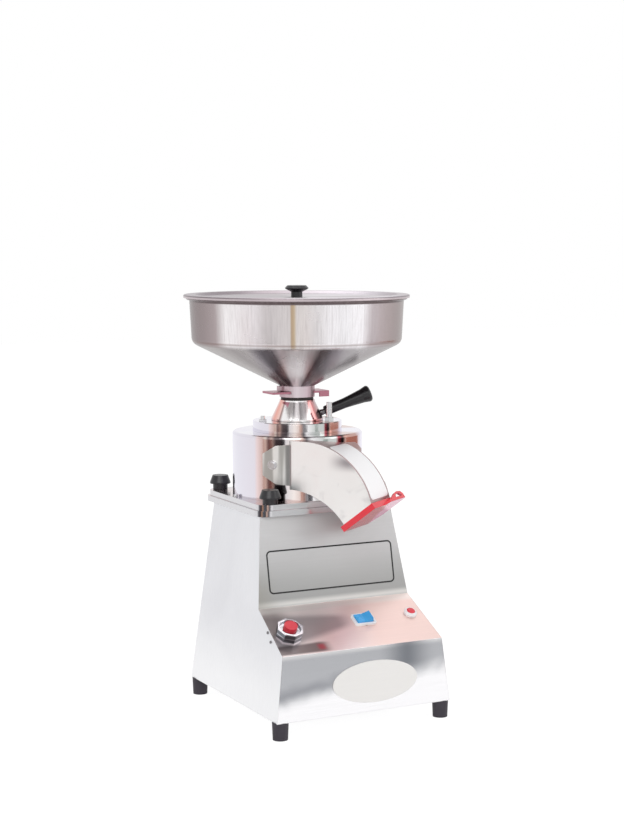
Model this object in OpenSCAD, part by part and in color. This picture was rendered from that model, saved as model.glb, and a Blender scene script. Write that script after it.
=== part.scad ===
// Tabletop electric grain mill: a tapered sheet cabinet with the motor inside, a stone
// chamber with a curved side chute on top of it, and a round lidded hopper above.
// Millimetres. +Z is up, -Y is the front, and the origin is on the table under the
// middle of the cabinet. The milling axis stands behind the cabinet's middle.

/* [Cabinet] */
// Width of the cabinet at its foot
body_w = 200; // [190:1:230]
// Depth of the cabinet at its foot
body_d = 220; // [214:1:240]
// Height of the cabinet without its feet
body_h = 195; // [190:1:230]
// Width of the cabinet at its top
top_w = 154; // [150:1:166]
// Distance of the top's front edge ahead of the cabinet's middle
top_front = 22; // [16:1:26]
// Distance of the top's back edge behind the cabinet's middle
top_back = 95; // [94:1:105]
// Height of the lower front face
nose_h = 67; // [60:1:75]
// How far the lower front face leans back
nose_lean = 4; // [2:0.5:8]
// Depth of the sloping control panel, seen from above
panel_run = 65; // [60:1:70]
// Height that the control panel gains
panel_rise = 36; // [30:1:40]
// Thickness of the cabinet's sheet
shell_t = 1.2; // [0.8:0.1:1.6]
// Thickness of the bottom plate
bottom_t = 1.5; // [1:0.1:2.5]
// Gap around the bottom plate
bottom_clear = 0.3; // [0.2:0.1:0.6]
// Number of cooling slots in the back
vent_count = 6; // [2:1:8]
// Length of a cooling slot
vent_l = 60; // [30:1:80]
// Height of a cooling slot
vent_h = 4; // [3:0.5:5]
// Distance from one cooling slot to the next
vent_pitch = 10; // [8:0.5:12]
// Height of the lowest cooling slot above the cabinet's foot
vent_z = 95; // [80:1:100]

/* [Feet] */
// Height of a rubber foot
foot_h = 18; // [14:1:24]
// Diameter of a rubber foot
foot_d = 17; // [16:1:20]
// Distance of a foot's centre from the cabinet's sides
foot_side = 7; // [7:0.5:20]
// Distance of a foot's centre from the cabinet's front and back
foot_end = 8; // [8:0.5:20]
// Diameter of a foot's screw
foot_screw_d = 5; // [4:0.5:6]
// Diameter of the head of a foot's screw
foot_head_d = 9; // [7:0.5:10]
// Height of the head of a foot's screw
foot_head_h = 4; // [3:0.5:5]

/* [Top plates] */
// Distance of the milling axis behind the cabinet's middle
axis_y = 46; // [45:1:49]
// How far the mounting plate stands out past the chamber at each side
plate_side = 9; // [8:0.5:15]
// How far the mounting plate stands out past the chamber in front and behind
plate_end = 3; // [2:0.5:8]
// Corner radius of the mounting plate
plate_r = 14; // [8:1:20]
// Thickness of the mounting plate
plate_t = 6; // [5:0.5:8]
// How much smaller the chamber plate is all round
plate_step = 2; // [1:0.5:3]
// Thickness of the chamber plate
deck_t = 6; // [5:0.5:8]
// Distance of a clamp knob from the plate's side
knob_side = 16; // [11:0.5:17]
// Distance of a clamp knob from the plate's front or back
knob_end = 9; // [8:0.5:10]
// Diameter of the hole for the motor shaft in both plates
shaft_hole_d = 18; // [16:1:24]
// Number of screws that hold the mounting plate to the motor
motor_bolt_n = 4; // [3:1:6]
// Diameter of the motor screws
motor_bolt_d = 5; // [4:0.5:6]
// Radius of the circle of the motor screws
motor_bolt_r = 32; // [30:1:34]

/* [Clamp knobs] */
// Diameter of a knob's neck
knob_neck_d = 16; // [13:0.5:17]
// Height of a knob's neck
knob_neck_h = 6; // [5:0.5:8]
// Widest diameter of a knob's cap
knob_cap_d = 22.5; // [20:0.5:24]
// Diameter of the top of a knob's cap
knob_top_d = 17; // [14:0.5:19]
// Height of the upright rim of a knob's cap
knob_rim_h = 1.5; // [1:0.5:3]
// Height of the sloping part of a knob's cap
knob_crown_h = 7.5; // [5:0.5:8]
// Diameter of the studs that the knobs turn on
stud_d = 6; // [5:0.5:8]
// How far a stud reaches up into its knob
stud_up = 10; // [8:0.5:11]
// Running clearance of a knob on its stud, on the radius
stud_clear = 0.05; // [0.02:0.01:0.08]

/* [Milling chamber] */
// Outer diameter of the chamber
drum_d = 140; // [136:1:143]
// Height of the chamber above its plate
drum_h = 68; // [66:1:76]
// Thickness of the chamber's wall
drum_t = 3; // [2:0.5:4]
// Thickness of the chamber's roof
roof_t = 4; // [3:0.5:6]
// Corner radius around the chamber's roof
roof_r = 3; // [1.5:0.5:4]
// Diameter of the millstones
stone_d = 100; // [90:1:108]
// Thickness of each millstone
stone_t = 18; // [14:1:19]
// Gap between the millstones
stone_gap = 0.8; // [0.6:0.1:1.5]
// Diameter of the eye of the upper stone
stone_eye_d = 32; // [28:1:40]
// Diameter of the plates that carry the stones
carrier_d = 96; // [80:1:110]
// Thickness of the plates that carry the stones
carrier_t = 6; // [4:0.5:7]
// Height of the runner's hub under its plate
hub_h = 8; // [6:0.5:10]
// Diameter of the runner's hub
hub_d = 28; // [24:1:34]
// Gap under the runner's hub
hub_gap = 3; // [2:0.5:4]

/* [Motor] */
// Outer diameter of the motor
motor_d = 84; // [80:1:88]
// Length of the motor's housing
motor_h = 98; // [90:1:110]
// Thickness of the motor's wall
motor_t = 3; // [2:0.5:4]
// Thickness of the motor's head
head_t = 12; // [11:0.5:16]
// Thickness of the motor's lower cap
cap_t = 8; // [6:0.5:10]
// Diameter of the motor's shaft
shaft_d = 12; // [10:0.5:14]
// Outer diameter of a bearing
bearing_d = 32; // [28:1:34]
// Height of a bearing
bearing_h = 10; // [8:0.5:10]
// Clearance between the shaft and a bearing, on the radius
bearing_clear = 0.04; // [0.02:0.01:0.08]
// Diameter of the rotor
rotor_d = 46; // [40:1:50]
// Height of the rotor and the stator
core_h = 50; // [40:1:58]
// Air gap between the rotor and the stator
air_gap = 0.8; // [0.5:0.1:1.2]
// Diameter of the cooling fan
fan_d = 68; // [60:1:76]
// Number of fan blades
fan_blades = 8; // [5:1:10]
// Height of a fan blade
fan_blade_h = 9; // [7:0.5:12]
// Diameter of the run capacitor
cap_d = 30; // [26:1:34]
// Length of the run capacitor
cap_l = 36; // [30:1:50]
// Height of the strap around the run capacitor
strap_z = 14; // [8:1:18]
// Width of the strap around the run capacitor
strap_w = 10; // [8:0.5:12]

/* [Adjuster] */
// Diameter of the round flange on the chamber
disc_d = 96; // [92:1:104]
// Height of the round flange
disc_h = 11; // [9:0.5:13]
// Diameter of the adjusting cone at its foot
cone_d = 56; // [52:1:60]
// Diameter of the adjusting cone at its top
cone_top_d = 38; // [37:0.5:42]
// Height of the adjusting cone
cone_h = 22; // [20:0.5:26]
// Diameter of the feed tube
tube_d = 30; // [27:0.5:31]
// Diameter of the feed bore
feed_d = 16; // [15:0.5:18]
// Clearance around the feed tube, on the radius
tube_clear = 0.15; // [0.1:0.05:0.2]
// Diameter of the screws of the flange
disc_screw_d = 5; // [4:0.5:6]
// Radius of the circle of the flange's screws
disc_screw_r = 41; // [40:0.5:42]
// Height of the screws above the flange
disc_screw_h = 6; // [4:0.5:7]
// Height of the stop stud above the flange
stop_h = 21; // [16:1:24]
// Diameter of the lever's rod
rod_d = 6; // [5:0.5:7]
// Distance of the lever's end from the cone's axis
lever_l = 80; // [76:1:90]
// Direction of the lever, turned from +X
lever_turn = -18; // [-22:1:-8]
// Rise of the lever above level
lever_rise = 21; // [20:0.5:22]
// Height of the lever's root above the flange
lever_z = 7.5; // [7:0.5:8]
// Distance of the lever's bend from the cone's axis
lever_bend = 27; // [26.5:0.5:30]
// Distance of the grip's start from the lever's bend
grip_start = 3; // [2.5:0.5:6]
// Diameter of the grip at its start
grip_d = 11; // [10:0.5:12]
// Diameter of the grip's flared end
grip_end_d = 18; // [16:0.5:20]

/* [Chute] */
// Direction of the chute, turned from +X
chute_turn = -54; // [-58:1:-50]
// Distance of the chute's near side inside the chamber's side
chute_inset = 4.5; // [3.5:0.5:6.5]
// Width of the chute
chute_w = 46; // [40:1:47]
// Thickness of the chute's sheet
chute_t = 1.2; // [1:0.1:1.6]
// Radius of the chute's upper bend
bend_out_r = 80; // [76:1:82]
// Distance of the upper bend's centre from the axis
bend_out_x = 42; // [40:1:44]
// Angle at which the upper bend ends, above level
bend_out_end = 12; // [10:1:16]
// Radius of the chute's lower bend
bend_in_r = 80; // [78:1:82]
// Distance of the lower bend's centre from the axis
bend_in_x = 24; // [22:1:26]
// Angle at which the lower bend ends, above level
bend_in_end = 34; // [32:1:36]
// Height of the chute's root above the chamber's plate
chute_foot = 13; // [12:0.5:14]
// Height of the chute's root
chute_root_h = 51; // [48:1:52]
// Thickness of the chute's ears
ear_t = 1.4; // [1:0.1:1.8]
// Angle that the near ear covers
ear_near = 23.5; // [22:0.5:28]
// Angle that the far ear covers
ear_far = 27; // [22:1:30]
// Clearance between the chute and the chamber
chute_clear = 0.2; // [0.1:0.05:0.3]
// Diameter of the head of an ear's screw
ear_screw_d = 10; // [8:0.5:11]
// Height of the middle of an ear
ear_h = 44; // [36:1:48]
// Height of the free end of an ear
ear_end_h = 23; // [18:1:30]
// Where the label starts, as an angle above level
label_from = 70; // [60:1:78]
// Where the label ends, as an angle above level
label_to = 17; // [15:1:40]
// Margin of the label from the chute's sides
label_margin = 3; // [2:0.5:8]
// Thickness of the label
label_t = 0.3; // [0.2:0.1:0.5]
// Thickness of the mouth's cap
cap_plate = 3; // [2:0.5:4]
// Height of the rim of the cap
cap_rim = 3; // [2:0.5:3]
// How far the cap stands out past the chute's near side
cap_lip = 3; // [2:0.5:4]
// How far the cap stands out past the chute's outer bend
cap_out = 4; // [3.5:0.5:5]
// How far the cap reaches past the chute's far side
cap_far = 20; // [14:1:22]
// Height of the pull on the cap
pull_tab_h = 6; // [5:0.5:8]
// Clearance of the cap around the chute
cap_clear = 0.3; // [0.2:0.05:0.4]

/* [Hopper] */
// Diameter of the hopper
hopper_d = 229; // [200:1:240]
// Thickness of the hopper's sheet
hopper_t = 1; // [0.8:0.1:1.5]
// Slope of the hopper's cone
hopper_slope = 26.5; // [24:0.5:30]
// Radius between the hopper's cone and its wall
shoulder_r = 9; // [6:1:14]
// How much narrower the hopper is at the foot of its wall, on the radius
wall_taper = 2; // [0:0.5:4]
// Height of the hopper's upright wall
wall_h = 42; // [40:0.5:60]
// Thickness of the hopper's rolled rim
bead_d = 4.4; // [4:0.2:5.4]
// Diameter of the hopper's collar
collar_d = 38; // [36:0.5:40]
// Height of the hopper's collar
collar_h = 12; // [11:0.5:14]
// Thickness of the rubber seal under the collar
seal_h = 3; // [2:0.5:4]
// Diameter of the rubber seal
seal_d = 35; // [33:0.5:37]
// Gap that lets the cone turn under the seal
seal_gap = 0.2; // [0.1:0.05:0.3]
// Width of the feed gate
gate_w = 26; // [24:0.5:27]
// Thickness of the feed gate
gate_t = 2.2; // [1.6:0.2:2.6]
// Length of the gate to the left of the axis
gate_left = 35; // [33:0.5:40]
// Length of the gate to the right of the axis
gate_right = 32; // [31:0.5:36]
// Height of the gate's turned-down front edge
gate_lip = 6.5; // [5:0.5:7]
// Width of the gate's turned-down front edge
lip_w = 11.5; // [8:0.5:12]
// Clearance around the gate
gate_clear = 0.3; // [0.2:0.05:0.4]
// How far the collar's guide tab stands out above the gate
tab_out = 4; // [3:0.5:5]
// Width of the collar's guide tab
tab_w = 5; // [4:0.5:8]

/* [Lid] */
// How far the lid's edge stands out past the hopper's rim
lid_over = 1.8; // [1.6:0.1:5]
// Thickness of the lid's sheet
lid_t = 1; // [0.8:0.1:1.4]
// Depth of the lid's sunk middle
lid_sink = 3.8; // [2:0.1:4.5]
// Width of the lid's raised ring
lid_ring = 12; // [10:0.5:15]
// Height of the lid's turned-down edge
lid_skirt = 3.4; // [2:0.1:4]
// Gap between the lid and the rim
lid_gap = 0.2; // [0.1:0.05:0.4]
// Diameter of the lid's knob
pull_d = 25; // [20:0.5:30]
// Height of the cap of the lid's knob
pull_h = 5.6; // [4:0.2:8]
// Diameter of the stem of the lid's knob
pull_stem_d = 12.2; // [9:0.2:13]
// Height of the stem of the lid's knob
pull_stem_h = 6.4; // [6:0.2:10]

/* [Controls] */
// Distance of the reset button from the middle, to the left
reset_x = 73; // [66:1:74]
// Distance of the reset button up the panel
reset_s = 30; // [26:1:34]
// Width of the reset button's housing, over its corners
reset_d = 28; // [26:1:30]
// Height of the reset button's housing
reset_h = 11.5; // [10:0.5:13]
// Diameter of the reset button
button_d = 14; // [12:0.5:17]
// How far the reset button stands out of its housing
button_up = 2.5; // [2:0.5:6]
// Travel of the reset button
button_travel = 3; // [2:0.5:4]
// Distance of the switch from the middle, to the right
switch_x = 18; // [10:1:26]
// Distance of the switch up the panel
switch_s = 40; // [34:1:42]
// Length of the switch's frame
switch_l = 24; // [21:0.5:28]
// Width of the switch's frame
switch_w = 17; // [15:0.5:20]
// Height of the switch's frame above the panel
switch_h = 2.4; // [2:0.2:3]
// Tilt of the rocker to either side
rocker_tilt = 12; // [8:1:13]
// Clearance around the rocker
rocker_clear = 0.9; // [0.9:0.1:1.2]
// Diameter of the rocker's pivot
pivot_d = 2; // [1.5:0.1:2.4]
// Clearance of the pivot in the frame, on the radius
pivot_clear = 0.05; // [0.02:0.01:0.08]
// Distance of the lamp from the middle, to the right
lamp_x = 75; // [70:1:76]
// Distance of the lamp up the panel
lamp_s = 42; // [38:1:46]
// Diameter of the lamp's ring
lamp_d = 14; // [12:0.5:15]
// Height of the lamp's ring
lamp_h = 4; // [3:0.5:5]
// Diameter of the lamp's lens
lens_d = 9; // [6:0.5:9.5]
// Depth of the controls' bodies behind the panel
control_depth = 18; // [14:1:20]
// Clearance of the controls in their holes
control_clear = 0.3; // [0.2:0.05:0.5]
// Width of the oval plate on the front
oval_w = 98; // [80:1:120]
// Height of the oval plate
oval_h = 43; // [36:1:48]
// Distance of the oval plate from the middle, to the right
oval_x = 12; // [0:1:20]
// Thickness of the oval plate
oval_t = 0.8; // [0.5:0.1:1.2]
// Diameter of the cable gland's bore
gland_bore_d = 7.4; // [6:0.2:9]
// Diameter of the cable gland's flange
gland_d = 20; // [17:1:24]
// Length of the cable gland outside the cabinet
gland_l = 14; // [11:1:18]
// Distance of the cable gland from the middle, to the right
gland_x = 60; // [40:1:70]
// Height of the cable gland above the cabinet's foot
gland_z = 30; // [24:1:50]

/* [Hidden] */
$fn = 96;

eps = 0.01;
cut = 1;
seat_gap = 0.02;
steel = [0.80, 0.80, 0.82];
bright = [0.86, 0.86, 0.88];
black = [0.07, 0.07, 0.08];
red = [0.85, 0.12, 0.14];

// Rooms around pieces that pass through or lie in others
head_room = 1;
head_clear = 0.2;
shaft_room = 2;
motor_room = 2;
tube_room = 2;
bolt_room = 0.5;
knob_gap = 0.1;
stud_room = 0.5;
spout_gap = 0.2;
carrier_gap = 0.4;

// Feet, and slots in the bottom plate
foot_taper = 1.5;
foot_screw_up = 4;
slot_w = 10;
slot_l = 50;
slot_pitch = 22;
slot_y = 40;

// Oval plate's middle, up from the cabinet's foot, and its number of corners
oval_z = 30.82;
oval_n = 72;

// Cable gland: its flange, the thread inside the cabinet and the nose outside
gland_stem_d = gland_d - 8;
gland_nose_d = gland_d - 5;
gland_flange_t = 3;
gland_in = 8;

// Screws on the chamber's wall and on its flange
pin_d = 4;
pin_cut = 20;
ear_washer_t = 1.6;
ear_head_d = ear_screw_d - 3;
ear_head_h = 2.4;
near_screw_turn = 14;
far_screw_turn = 15;
window_from = 20;
window_room = 1;
lug_turns = [45, 135, 225, 315];
disc_turns = [0, 120, 240];
disc_edge = 0.6;
disc_nut_d = 1.8 * disc_screw_d;
disc_nut_h = 0.4 * disc_screw_h;
stop_d = disc_screw_d + 1;
stop_nut_d = 2.1 * disc_screw_d;
stop_nut_h = 5;
side_stop_d = 4.4;
side_stop_h = 2.4;

// Label's corners, and how far its bent sheet runs past them
label_r = 4;
label_spare = 3;

// Pull of the mouth cap
pull_out = 5;
pull_t = 2.5;
cap_wall = 1.6;

// Gate, lid and lid knob
gate_rise = 4;
lip_t = 1.5;
lid_edge_r = 1.6;
lid_ramp = 3;
lid_hole_r = 2.6;
lid_screw_d = 5;
lid_head_d = 9;
lid_head_h = 2;
pull_edge = 2.4;

// Motor's small parts
bolt_head_d = motor_bolt_d + 4;
bolt_end = 3;
bolt_bore_end = 2;
bearing_wall = 3;
bearing_seat = 3;
bearing_roof = 2;
core_rise = 3;
fan_gap = 3;
fan_hub_d = 22;
fan_t = 1.6;
vane_t = 3;
shaft_out = 2;

// Cone and lever
lever_wall = 5;
elbow_over = 0.6;
cone_foot_h = 2;
cone_lip_h = 1.5;
rod_short = 8;
grip_bore_end = 7;
grip_end_r = 3;

// Capacitor's place
capacitor_x = -body_w / 4;
capacitor_y = 4 - body_d / 4;

// Controls
reset_stem_d = button_d + 4;
reset_well = 8;
reset_rim_h = 3;
reset_rim_d = 0.8 * reset_d;
button_gap = 0.5;
stem_lap = 1;
lamp_stem_d = lamp_d - 4;
lamp_edge = 1.6;
lens_seat = 2;
lens_rise = 1.4;
rocker_up = 1.6;
rocker_rise = 1.8;
rocker_dip = 2;
well_depth = 4.5;

// Corners of the switch's frame, and the width of its rim and walls
switch_r = 2.5;
switch_rim = 1;

// Capacitor's strap
strap_t = 1.5;
strap_foot = 12;

// Small screws at the sides, and the screws under the chamber
side_screw_s = 33.5;
side_screw_pitch = 10;
side_screw_drop = 7;
side_screw_rise = 3;
side_screw_d = 3;
side_screw_h = 0.8;
lug_w = 10;
lug_l = 10;
lug_h = 7;
lug_screw_d = 4;

// Places that follow the chamber
plate_w = drum_d + 2 * plate_side;
plate_d = drum_d + 2 * plate_end;
knob_x = plate_w / 2 - knob_side;
knob_y = plate_d / 2 - knob_end;
chute_side = drum_d / 2 - chute_inset;

// Heights, from the table up
body_z = foot_h;
plate_z = body_z + body_h;
deck_z = plate_z + plate_t;
drum_z = deck_z + deck_t;
drum_top = drum_z + drum_h;
flange_top = drum_top + disc_h;
cone_top = flange_top + cone_h;
collar_z = cone_top + seal_gap + seal_h;
collar_top = collar_z + collar_h;
gate_z = collar_z + gate_rise;
gate_top = gate_z + gate_t;
lever_root = tube_d / 2 + lever_wall;
lever_len = (lever_l - lever_bend) / cos(lever_rise);
lever_elbow_d = rod_d + elbow_over;

// Milling chamber, from the runner's hub up
runner_z = drum_z + hub_gap;
runner_plate_z = runner_z + hub_h;
runner_stone_z = runner_plate_z + carrier_t;
upper_stone_z = runner_stone_z + stone_t + stone_gap;
carrier_z = upper_stone_z + stone_t;
nut_h = 6;
nut_d = 20;

// Motor, hung under the mounting plate
motor_z = plate_z - motor_h;
motor_cap_z = motor_z - cap_t;
shaft_low = motor_cap_z - fan_blade_h - fan_gap;
upper_bearing_z = plate_z - bearing_roof - bearing_h;
lower_bearing_z = motor_z - bearing_seat;
core_z = motor_z + (motor_h - head_t - core_h) / 2 + core_rise;

// Side outline of the cabinet, (y, z) from the cabinet's foot, and its front outline
nose_y = -body_d / 2 + nose_lean;
brow_y = nose_y + panel_run;
brow_z = nose_h + panel_rise;
side_outline = [
    [-body_d / 2, 0], [body_d / 2, 0], [top_back, body_h],
    [-top_front, body_h], [brow_y, brow_z], [nose_y, nose_h]
];
front_outline = [
    [-body_w / 2, 0], [body_w / 2, 0], [top_w / 2, body_h], [-top_w / 2, body_h]
];
panel_slope = atan2(panel_rise, panel_run);
nose_slope = atan2(nose_lean, nose_h);
back_slope = atan2(body_d / 2 - top_back, body_h);
side_slope = atan2((body_w - top_w) / 2, body_h);

// Hopper and lid
hopper_r = hopper_d / 2;
shoulder_x = hopper_r - wall_taper - shoulder_r;
shoulder_z = collar_top + (shoulder_x + shoulder_r * sin(hopper_slope) - collar_d / 2)
    * tan(hopper_slope) + shoulder_r * cos(hopper_slope);
rim_z = shoulder_z + wall_h;
rim_top = rim_z + bead_d / 2;
lid_z = rim_top + lid_gap;
lid_r = hopper_r + bead_d + lid_over;
panel_z = lid_z + lid_t - lid_sink;

// Chute, in its own frame: x along the flow, z up from the table
root_low = drum_z + chute_foot;
root_high = root_low + chute_root_h;
bend_out_z = root_high - bend_out_r;
bend_in_z = root_low - bend_in_r;
mouth_out = [bend_out_x + bend_out_r * cos(bend_out_end), bend_out_z + bend_out_r * sin(bend_out_end)];
mouth_in = [bend_in_x + bend_in_r * cos(bend_in_end), bend_in_z + bend_in_r * sin(bend_in_end)];
mouth_angle = atan2(mouth_out[1] - mouth_in[1], mouth_out[0] - mouth_in[0]);
mouth_len = norm(mouth_out - mouth_in);
near_seam = acos(chute_side / (drum_d / 2));
far_seam = acos((chute_side - chute_w) / (drum_d / 2));
ear_z = root_low + chute_root_h / 2;

// Points of an arc about a centre
function arc(c, r, a0, a1, n = 16) =
    [for (i = [0:n]) let (a = a0 + (a1 - a0) * i / n) c + r * [cos(a), sin(a)]];

// Unit vector square to an edge, pointing into an anticlockwise outline
function inward(p, q) = let (d = (q - p) / norm(q - p)) [-d[1], d[0]];

// Point where two edges meet once each has moved inwards by t
function inset_corner(a, b, c, t) =
    let (
        n1 = inward(a, b),
        n2 = inward(b, c),
        det = n1[0] * n2[1] - n1[1] * n2[0],
        k1 = n1 * b + t,
        k2 = n2 * b + t
    ) [(k1 * n2[1] - k2 * n1[1]) / det, (k2 * n1[0] - k1 * n2[0]) / det];

// Outline moved inwards by t all round
function inset(pts, t) =
    let (n = len(pts))
    [for (i = [0:n - 1]) inset_corner(pts[(i + n - 1) % n], pts[i], pts[(i + 1) % n], t)];

module at_axis() {
    translate([0, axis_y, 0]) children();
}

// Children on the control panel: x across, y up the slope, z out of it
module on_panel(x, s) {
    translate([x, nose_y, body_z + nose_h])
        rotate([panel_slope, 0, 0])
            translate([0, s, 0])
                children();
}

// Children in the chute's frame: x along the flow, y towards the far side
module in_chute() {
    at_axis() rotate([0, 0, chute_turn]) children();
}

// A straight tube
module ring(r_out, r_in, h) {
    difference() {
        cylinder(r = r_out, h = h);
        translate([0, 0, -cut]) cylinder(r = r_in, h = h + 2 * cut);
    }
}

// A slab with round corners, centred on the origin
module round_slab(w, d, r, h) {
    for (x = [-1, 1], y = [-1, 1])
        translate([x * (w / 2 - r), y * (d / 2 - r), 0])
            cylinder(r = r, h = h);
    translate([-w / 2, -d / 2 + r, 0]) cube([w, d - 2 * r, h]);
    translate([-w / 2 + r, -d / 2, 0]) cube([w - 2 * r, d, h]);
}

// A hexagonal nut across its corners d
module hex(d, h) {
    cylinder(d = d, h = h, $fn = 6);
}

module at_feet() {
    for (x = [-1, 1], y = [-1, 1])
        translate([x * (body_w / 2 - foot_side), y * (body_d / 2 - foot_end), 0])
            children();
}

module at_knobs() {
    for (x = [-1, 1], y = [-1, 1])
        translate([x * knob_x, axis_y + y * knob_y, 0])
            children();
}

module at_motor_bolts() {
    for (i = [0:motor_bolt_n - 1])
        at_axis() rotate([0, 0, 360 / motor_bolt_n * (i + 0.5)])
            translate([motor_bolt_r, 0, 0])
                children();
}

// The cabinet's outside, filled, from two outlines
module cabinet_block(side, front, low) {
    intersection() {
        translate([-body_w, 0, body_z])
            rotate([90, 0, 90])
                linear_extrude(2 * body_w) polygon(side);
        translate([0, body_d, body_z])
            rotate([90, 0, 0])
                linear_extrude(2 * body_d) polygon(front);
        translate([-body_w, -body_d, body_z - low])
            cube([2 * body_w, 2 * body_d, 2 * body_h]);
    }
}

module cabinet_shell() {
    side_in = inset(side_outline, shell_t);
    front_in = inset(front_outline, shell_t);
    drop = [0, 2 * shell_t];
    side_open = [for (i = [0:len(side_in) - 1]) i < 2 ? side_in[i] - drop : side_in[i]];
    front_open = [for (i = [0:len(front_in) - 1]) i < 2 ? front_in[i] - drop : front_in[i]];
    color(steel)
    difference() {
        cabinet_block(side_outline, front_outline, 0);
        cabinet_block(side_open, front_open, cut);
        at_axis() translate([0, 0, plate_z - shell_t - cut])
            cylinder(d = motor_d + 2 * motor_room, h = shell_t + 2 * cut);
        on_panel(-reset_x, reset_s) control_hole(reset_stem_d);
        on_panel(lamp_x, lamp_s) control_hole(lamp_stem_d);
        on_panel(switch_x, switch_s)
            translate([-switch_l / 2 + switch_rim, -switch_w / 2 + switch_rim, -shell_t - cut])
                cube([switch_l - 2 * switch_rim, switch_w - 2 * switch_rim, shell_t + 2 * cut]);
        at_gland() translate([0, 0, -shell_t - cut])
            cylinder(d = gland_stem_d + 2 * control_clear, h = shell_t + 2 * cut);
        for (i = [0:vent_count - 1])
            translate([-vent_l / 2, top_back - 4 * cut, body_z + vent_z + i * vent_pitch])
                cube([vent_l, body_d / 2, vent_h]);
    }
}

module control_hole(d) {
    translate([0, 0, -shell_t - cut]) cylinder(d = d, h = shell_t + 2 * cut);
}

// Children on the cabinet's back, z out of it
module at_gland() {
    translate([gland_x, body_d / 2 - gland_z * tan(back_slope), body_z + gland_z])
        rotate([back_slope - 90, 0, 0])
            children();
}

module bottom_plate() {
    w = body_w - 2 * (shell_t + bottom_clear) - 2 * bottom_t * tan(side_slope);
    d = body_d - 2 * (shell_t + bottom_clear) - 2 * bottom_t * tan(max(back_slope, nose_slope));
    color(steel)
    difference() {
        translate([-w / 2, -d / 2, body_z]) cube([w, d, bottom_t]);
        at_feet() translate([0, 0, body_z - cut])
            cylinder(d = foot_screw_d, h = bottom_t + 2 * cut);
        for (x = [-2:2], y = [-1, 1])
            translate([x * slot_pitch - slot_w / 2, y * slot_y - slot_l / 2, body_z - cut])
                cube([slot_w, slot_l, bottom_t + 2 * cut]);
    }
}

module rubber_feet() {
    color(black)
    at_feet() difference() {
        cylinder(d1 = foot_d - foot_taper, d2 = foot_d, h = foot_h);
        translate([0, 0, foot_h / 2]) cylinder(d = foot_screw_d, h = foot_h);
        translate([0, 0, -cut]) cylinder(d = foot_head_d + 2 * head_room, h = foot_h / 2 + cut + eps);
    }
}

module foot_screws() {
    color(bright)
    at_feet() {
        translate([0, 0, foot_h / 2 - seat_gap - foot_head_h])
            cylinder(d = foot_head_d, h = foot_head_h);
        translate([0, 0, foot_h / 2 - foot_head_h])
            cylinder(
                d = foot_screw_d - 2 * seat_gap,
                h = foot_h / 2 + foot_head_h + bottom_t + foot_screw_up
            );
    }
}

module cable_gland() {
    low = -shell_t - gland_in;
    color(black)
    at_gland() difference() {
        union() {
            translate([0, 0, seat_gap]) cylinder(d = gland_d, h = gland_flange_t);
            translate([0, 0, low]) cylinder(d = gland_stem_d, h = gland_flange_t - cut - low);
            translate([0, 0, gland_flange_t])
                cylinder(d1 = gland_nose_d, d2 = gland_stem_d, h = gland_l - gland_flange_t);
        }
        translate([0, 0, low - cut]) cylinder(d = gland_bore_d, h = gland_l - low + 2 * cut);
    }
}

module front_plate() {
    points = [
        for (i = [0:oval_n - 1]) let (a = 360 * i / oval_n) [oval_w / 2 * cos(a), oval_h / 2 * sin(a)]
    ];
    color([0.78, 0.78, 0.77])
    translate([oval_x, -body_d / 2 + oval_z * tan(nose_slope), body_z + oval_z])
        rotate([90 - nose_slope, 0, 0])
            linear_extrude(oval_t) polygon(points);
}

// Small screws that hold the control panel to the cabinet's sides
module side_screws() {
    color([0.25, 0.25, 0.27])
    for (side = [-1, 1], i = [0, 1]) {
        along = side_screw_s + i * side_screw_pitch;
        y = nose_y + along * cos(panel_slope);
        z = nose_h + along * sin(panel_slope) - side_screw_drop + i * side_screw_rise;
        translate([side * (body_w / 2 - z * tan(side_slope)), y, body_z + z])
            rotate([0, side * (90 - side_slope), 0])
                translate([0, 0, seat_gap]) cylinder(d = side_screw_d, h = side_screw_h);
    }
}

module mounting_plate() {
    color(bright)
    difference() {
        at_axis() translate([0, 0, plate_z]) round_slab(plate_w, plate_d, plate_r, plate_t);
        duct(-1, 0);
        at_axis() translate([0, 0, plate_z - cut]) cylinder(d = shaft_hole_d, h = plate_t + 2 * cut);
        at_knobs() translate([0, 0, plate_z - cut])
            cylinder(d = stud_d + 2 * seat_gap, h = plate_t + 2 * cut);
        at_motor_bolts() translate([0, 0, plate_z - cut]) {
            cylinder(d = motor_bolt_d + 2 * seat_gap, h = plate_t + 2 * cut);
            translate([0, 0, cut + plate_t / 2]) cylinder(d = bolt_head_d + 2 * bolt_room, h = plate_t);
        }
    }
}

module clamp_studs() {
    color(bright)
    at_knobs() translate([0, 0, plate_z])
        cylinder(d = stud_d, h = plate_t + deck_t + stud_up);
}

module chamber_plate() {
    w = plate_w - 2 * plate_step;
    d = plate_d - 2 * plate_step;
    color(bright)
    difference() {
        at_axis() translate([0, 0, deck_z]) round_slab(w, d, plate_r, deck_t);
        duct(-1, 0);
        at_axis() translate([0, 0, deck_z - cut]) cylinder(d = shaft_hole_d, h = deck_t + 2 * cut);
        at_knobs() translate([0, 0, deck_z - cut])
            cylinder(d = stud_d + 2 * seat_gap, h = deck_t + 2 * cut);
        at_drum_screws() translate([0, 0, deck_z - cut]) {
            cylinder(d = lug_screw_d, h = deck_t + 2 * cut);
            cylinder(d = 2 * lug_screw_d, h = deck_t / 2 + cut);
        }
    }
}

module at_drum_screws() {
    for (a = lug_turns)
        at_axis() rotate([0, 0, a])
            translate([drum_d / 2 - drum_t - lug_l / 2, 0, 0])
                children();
}

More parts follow.
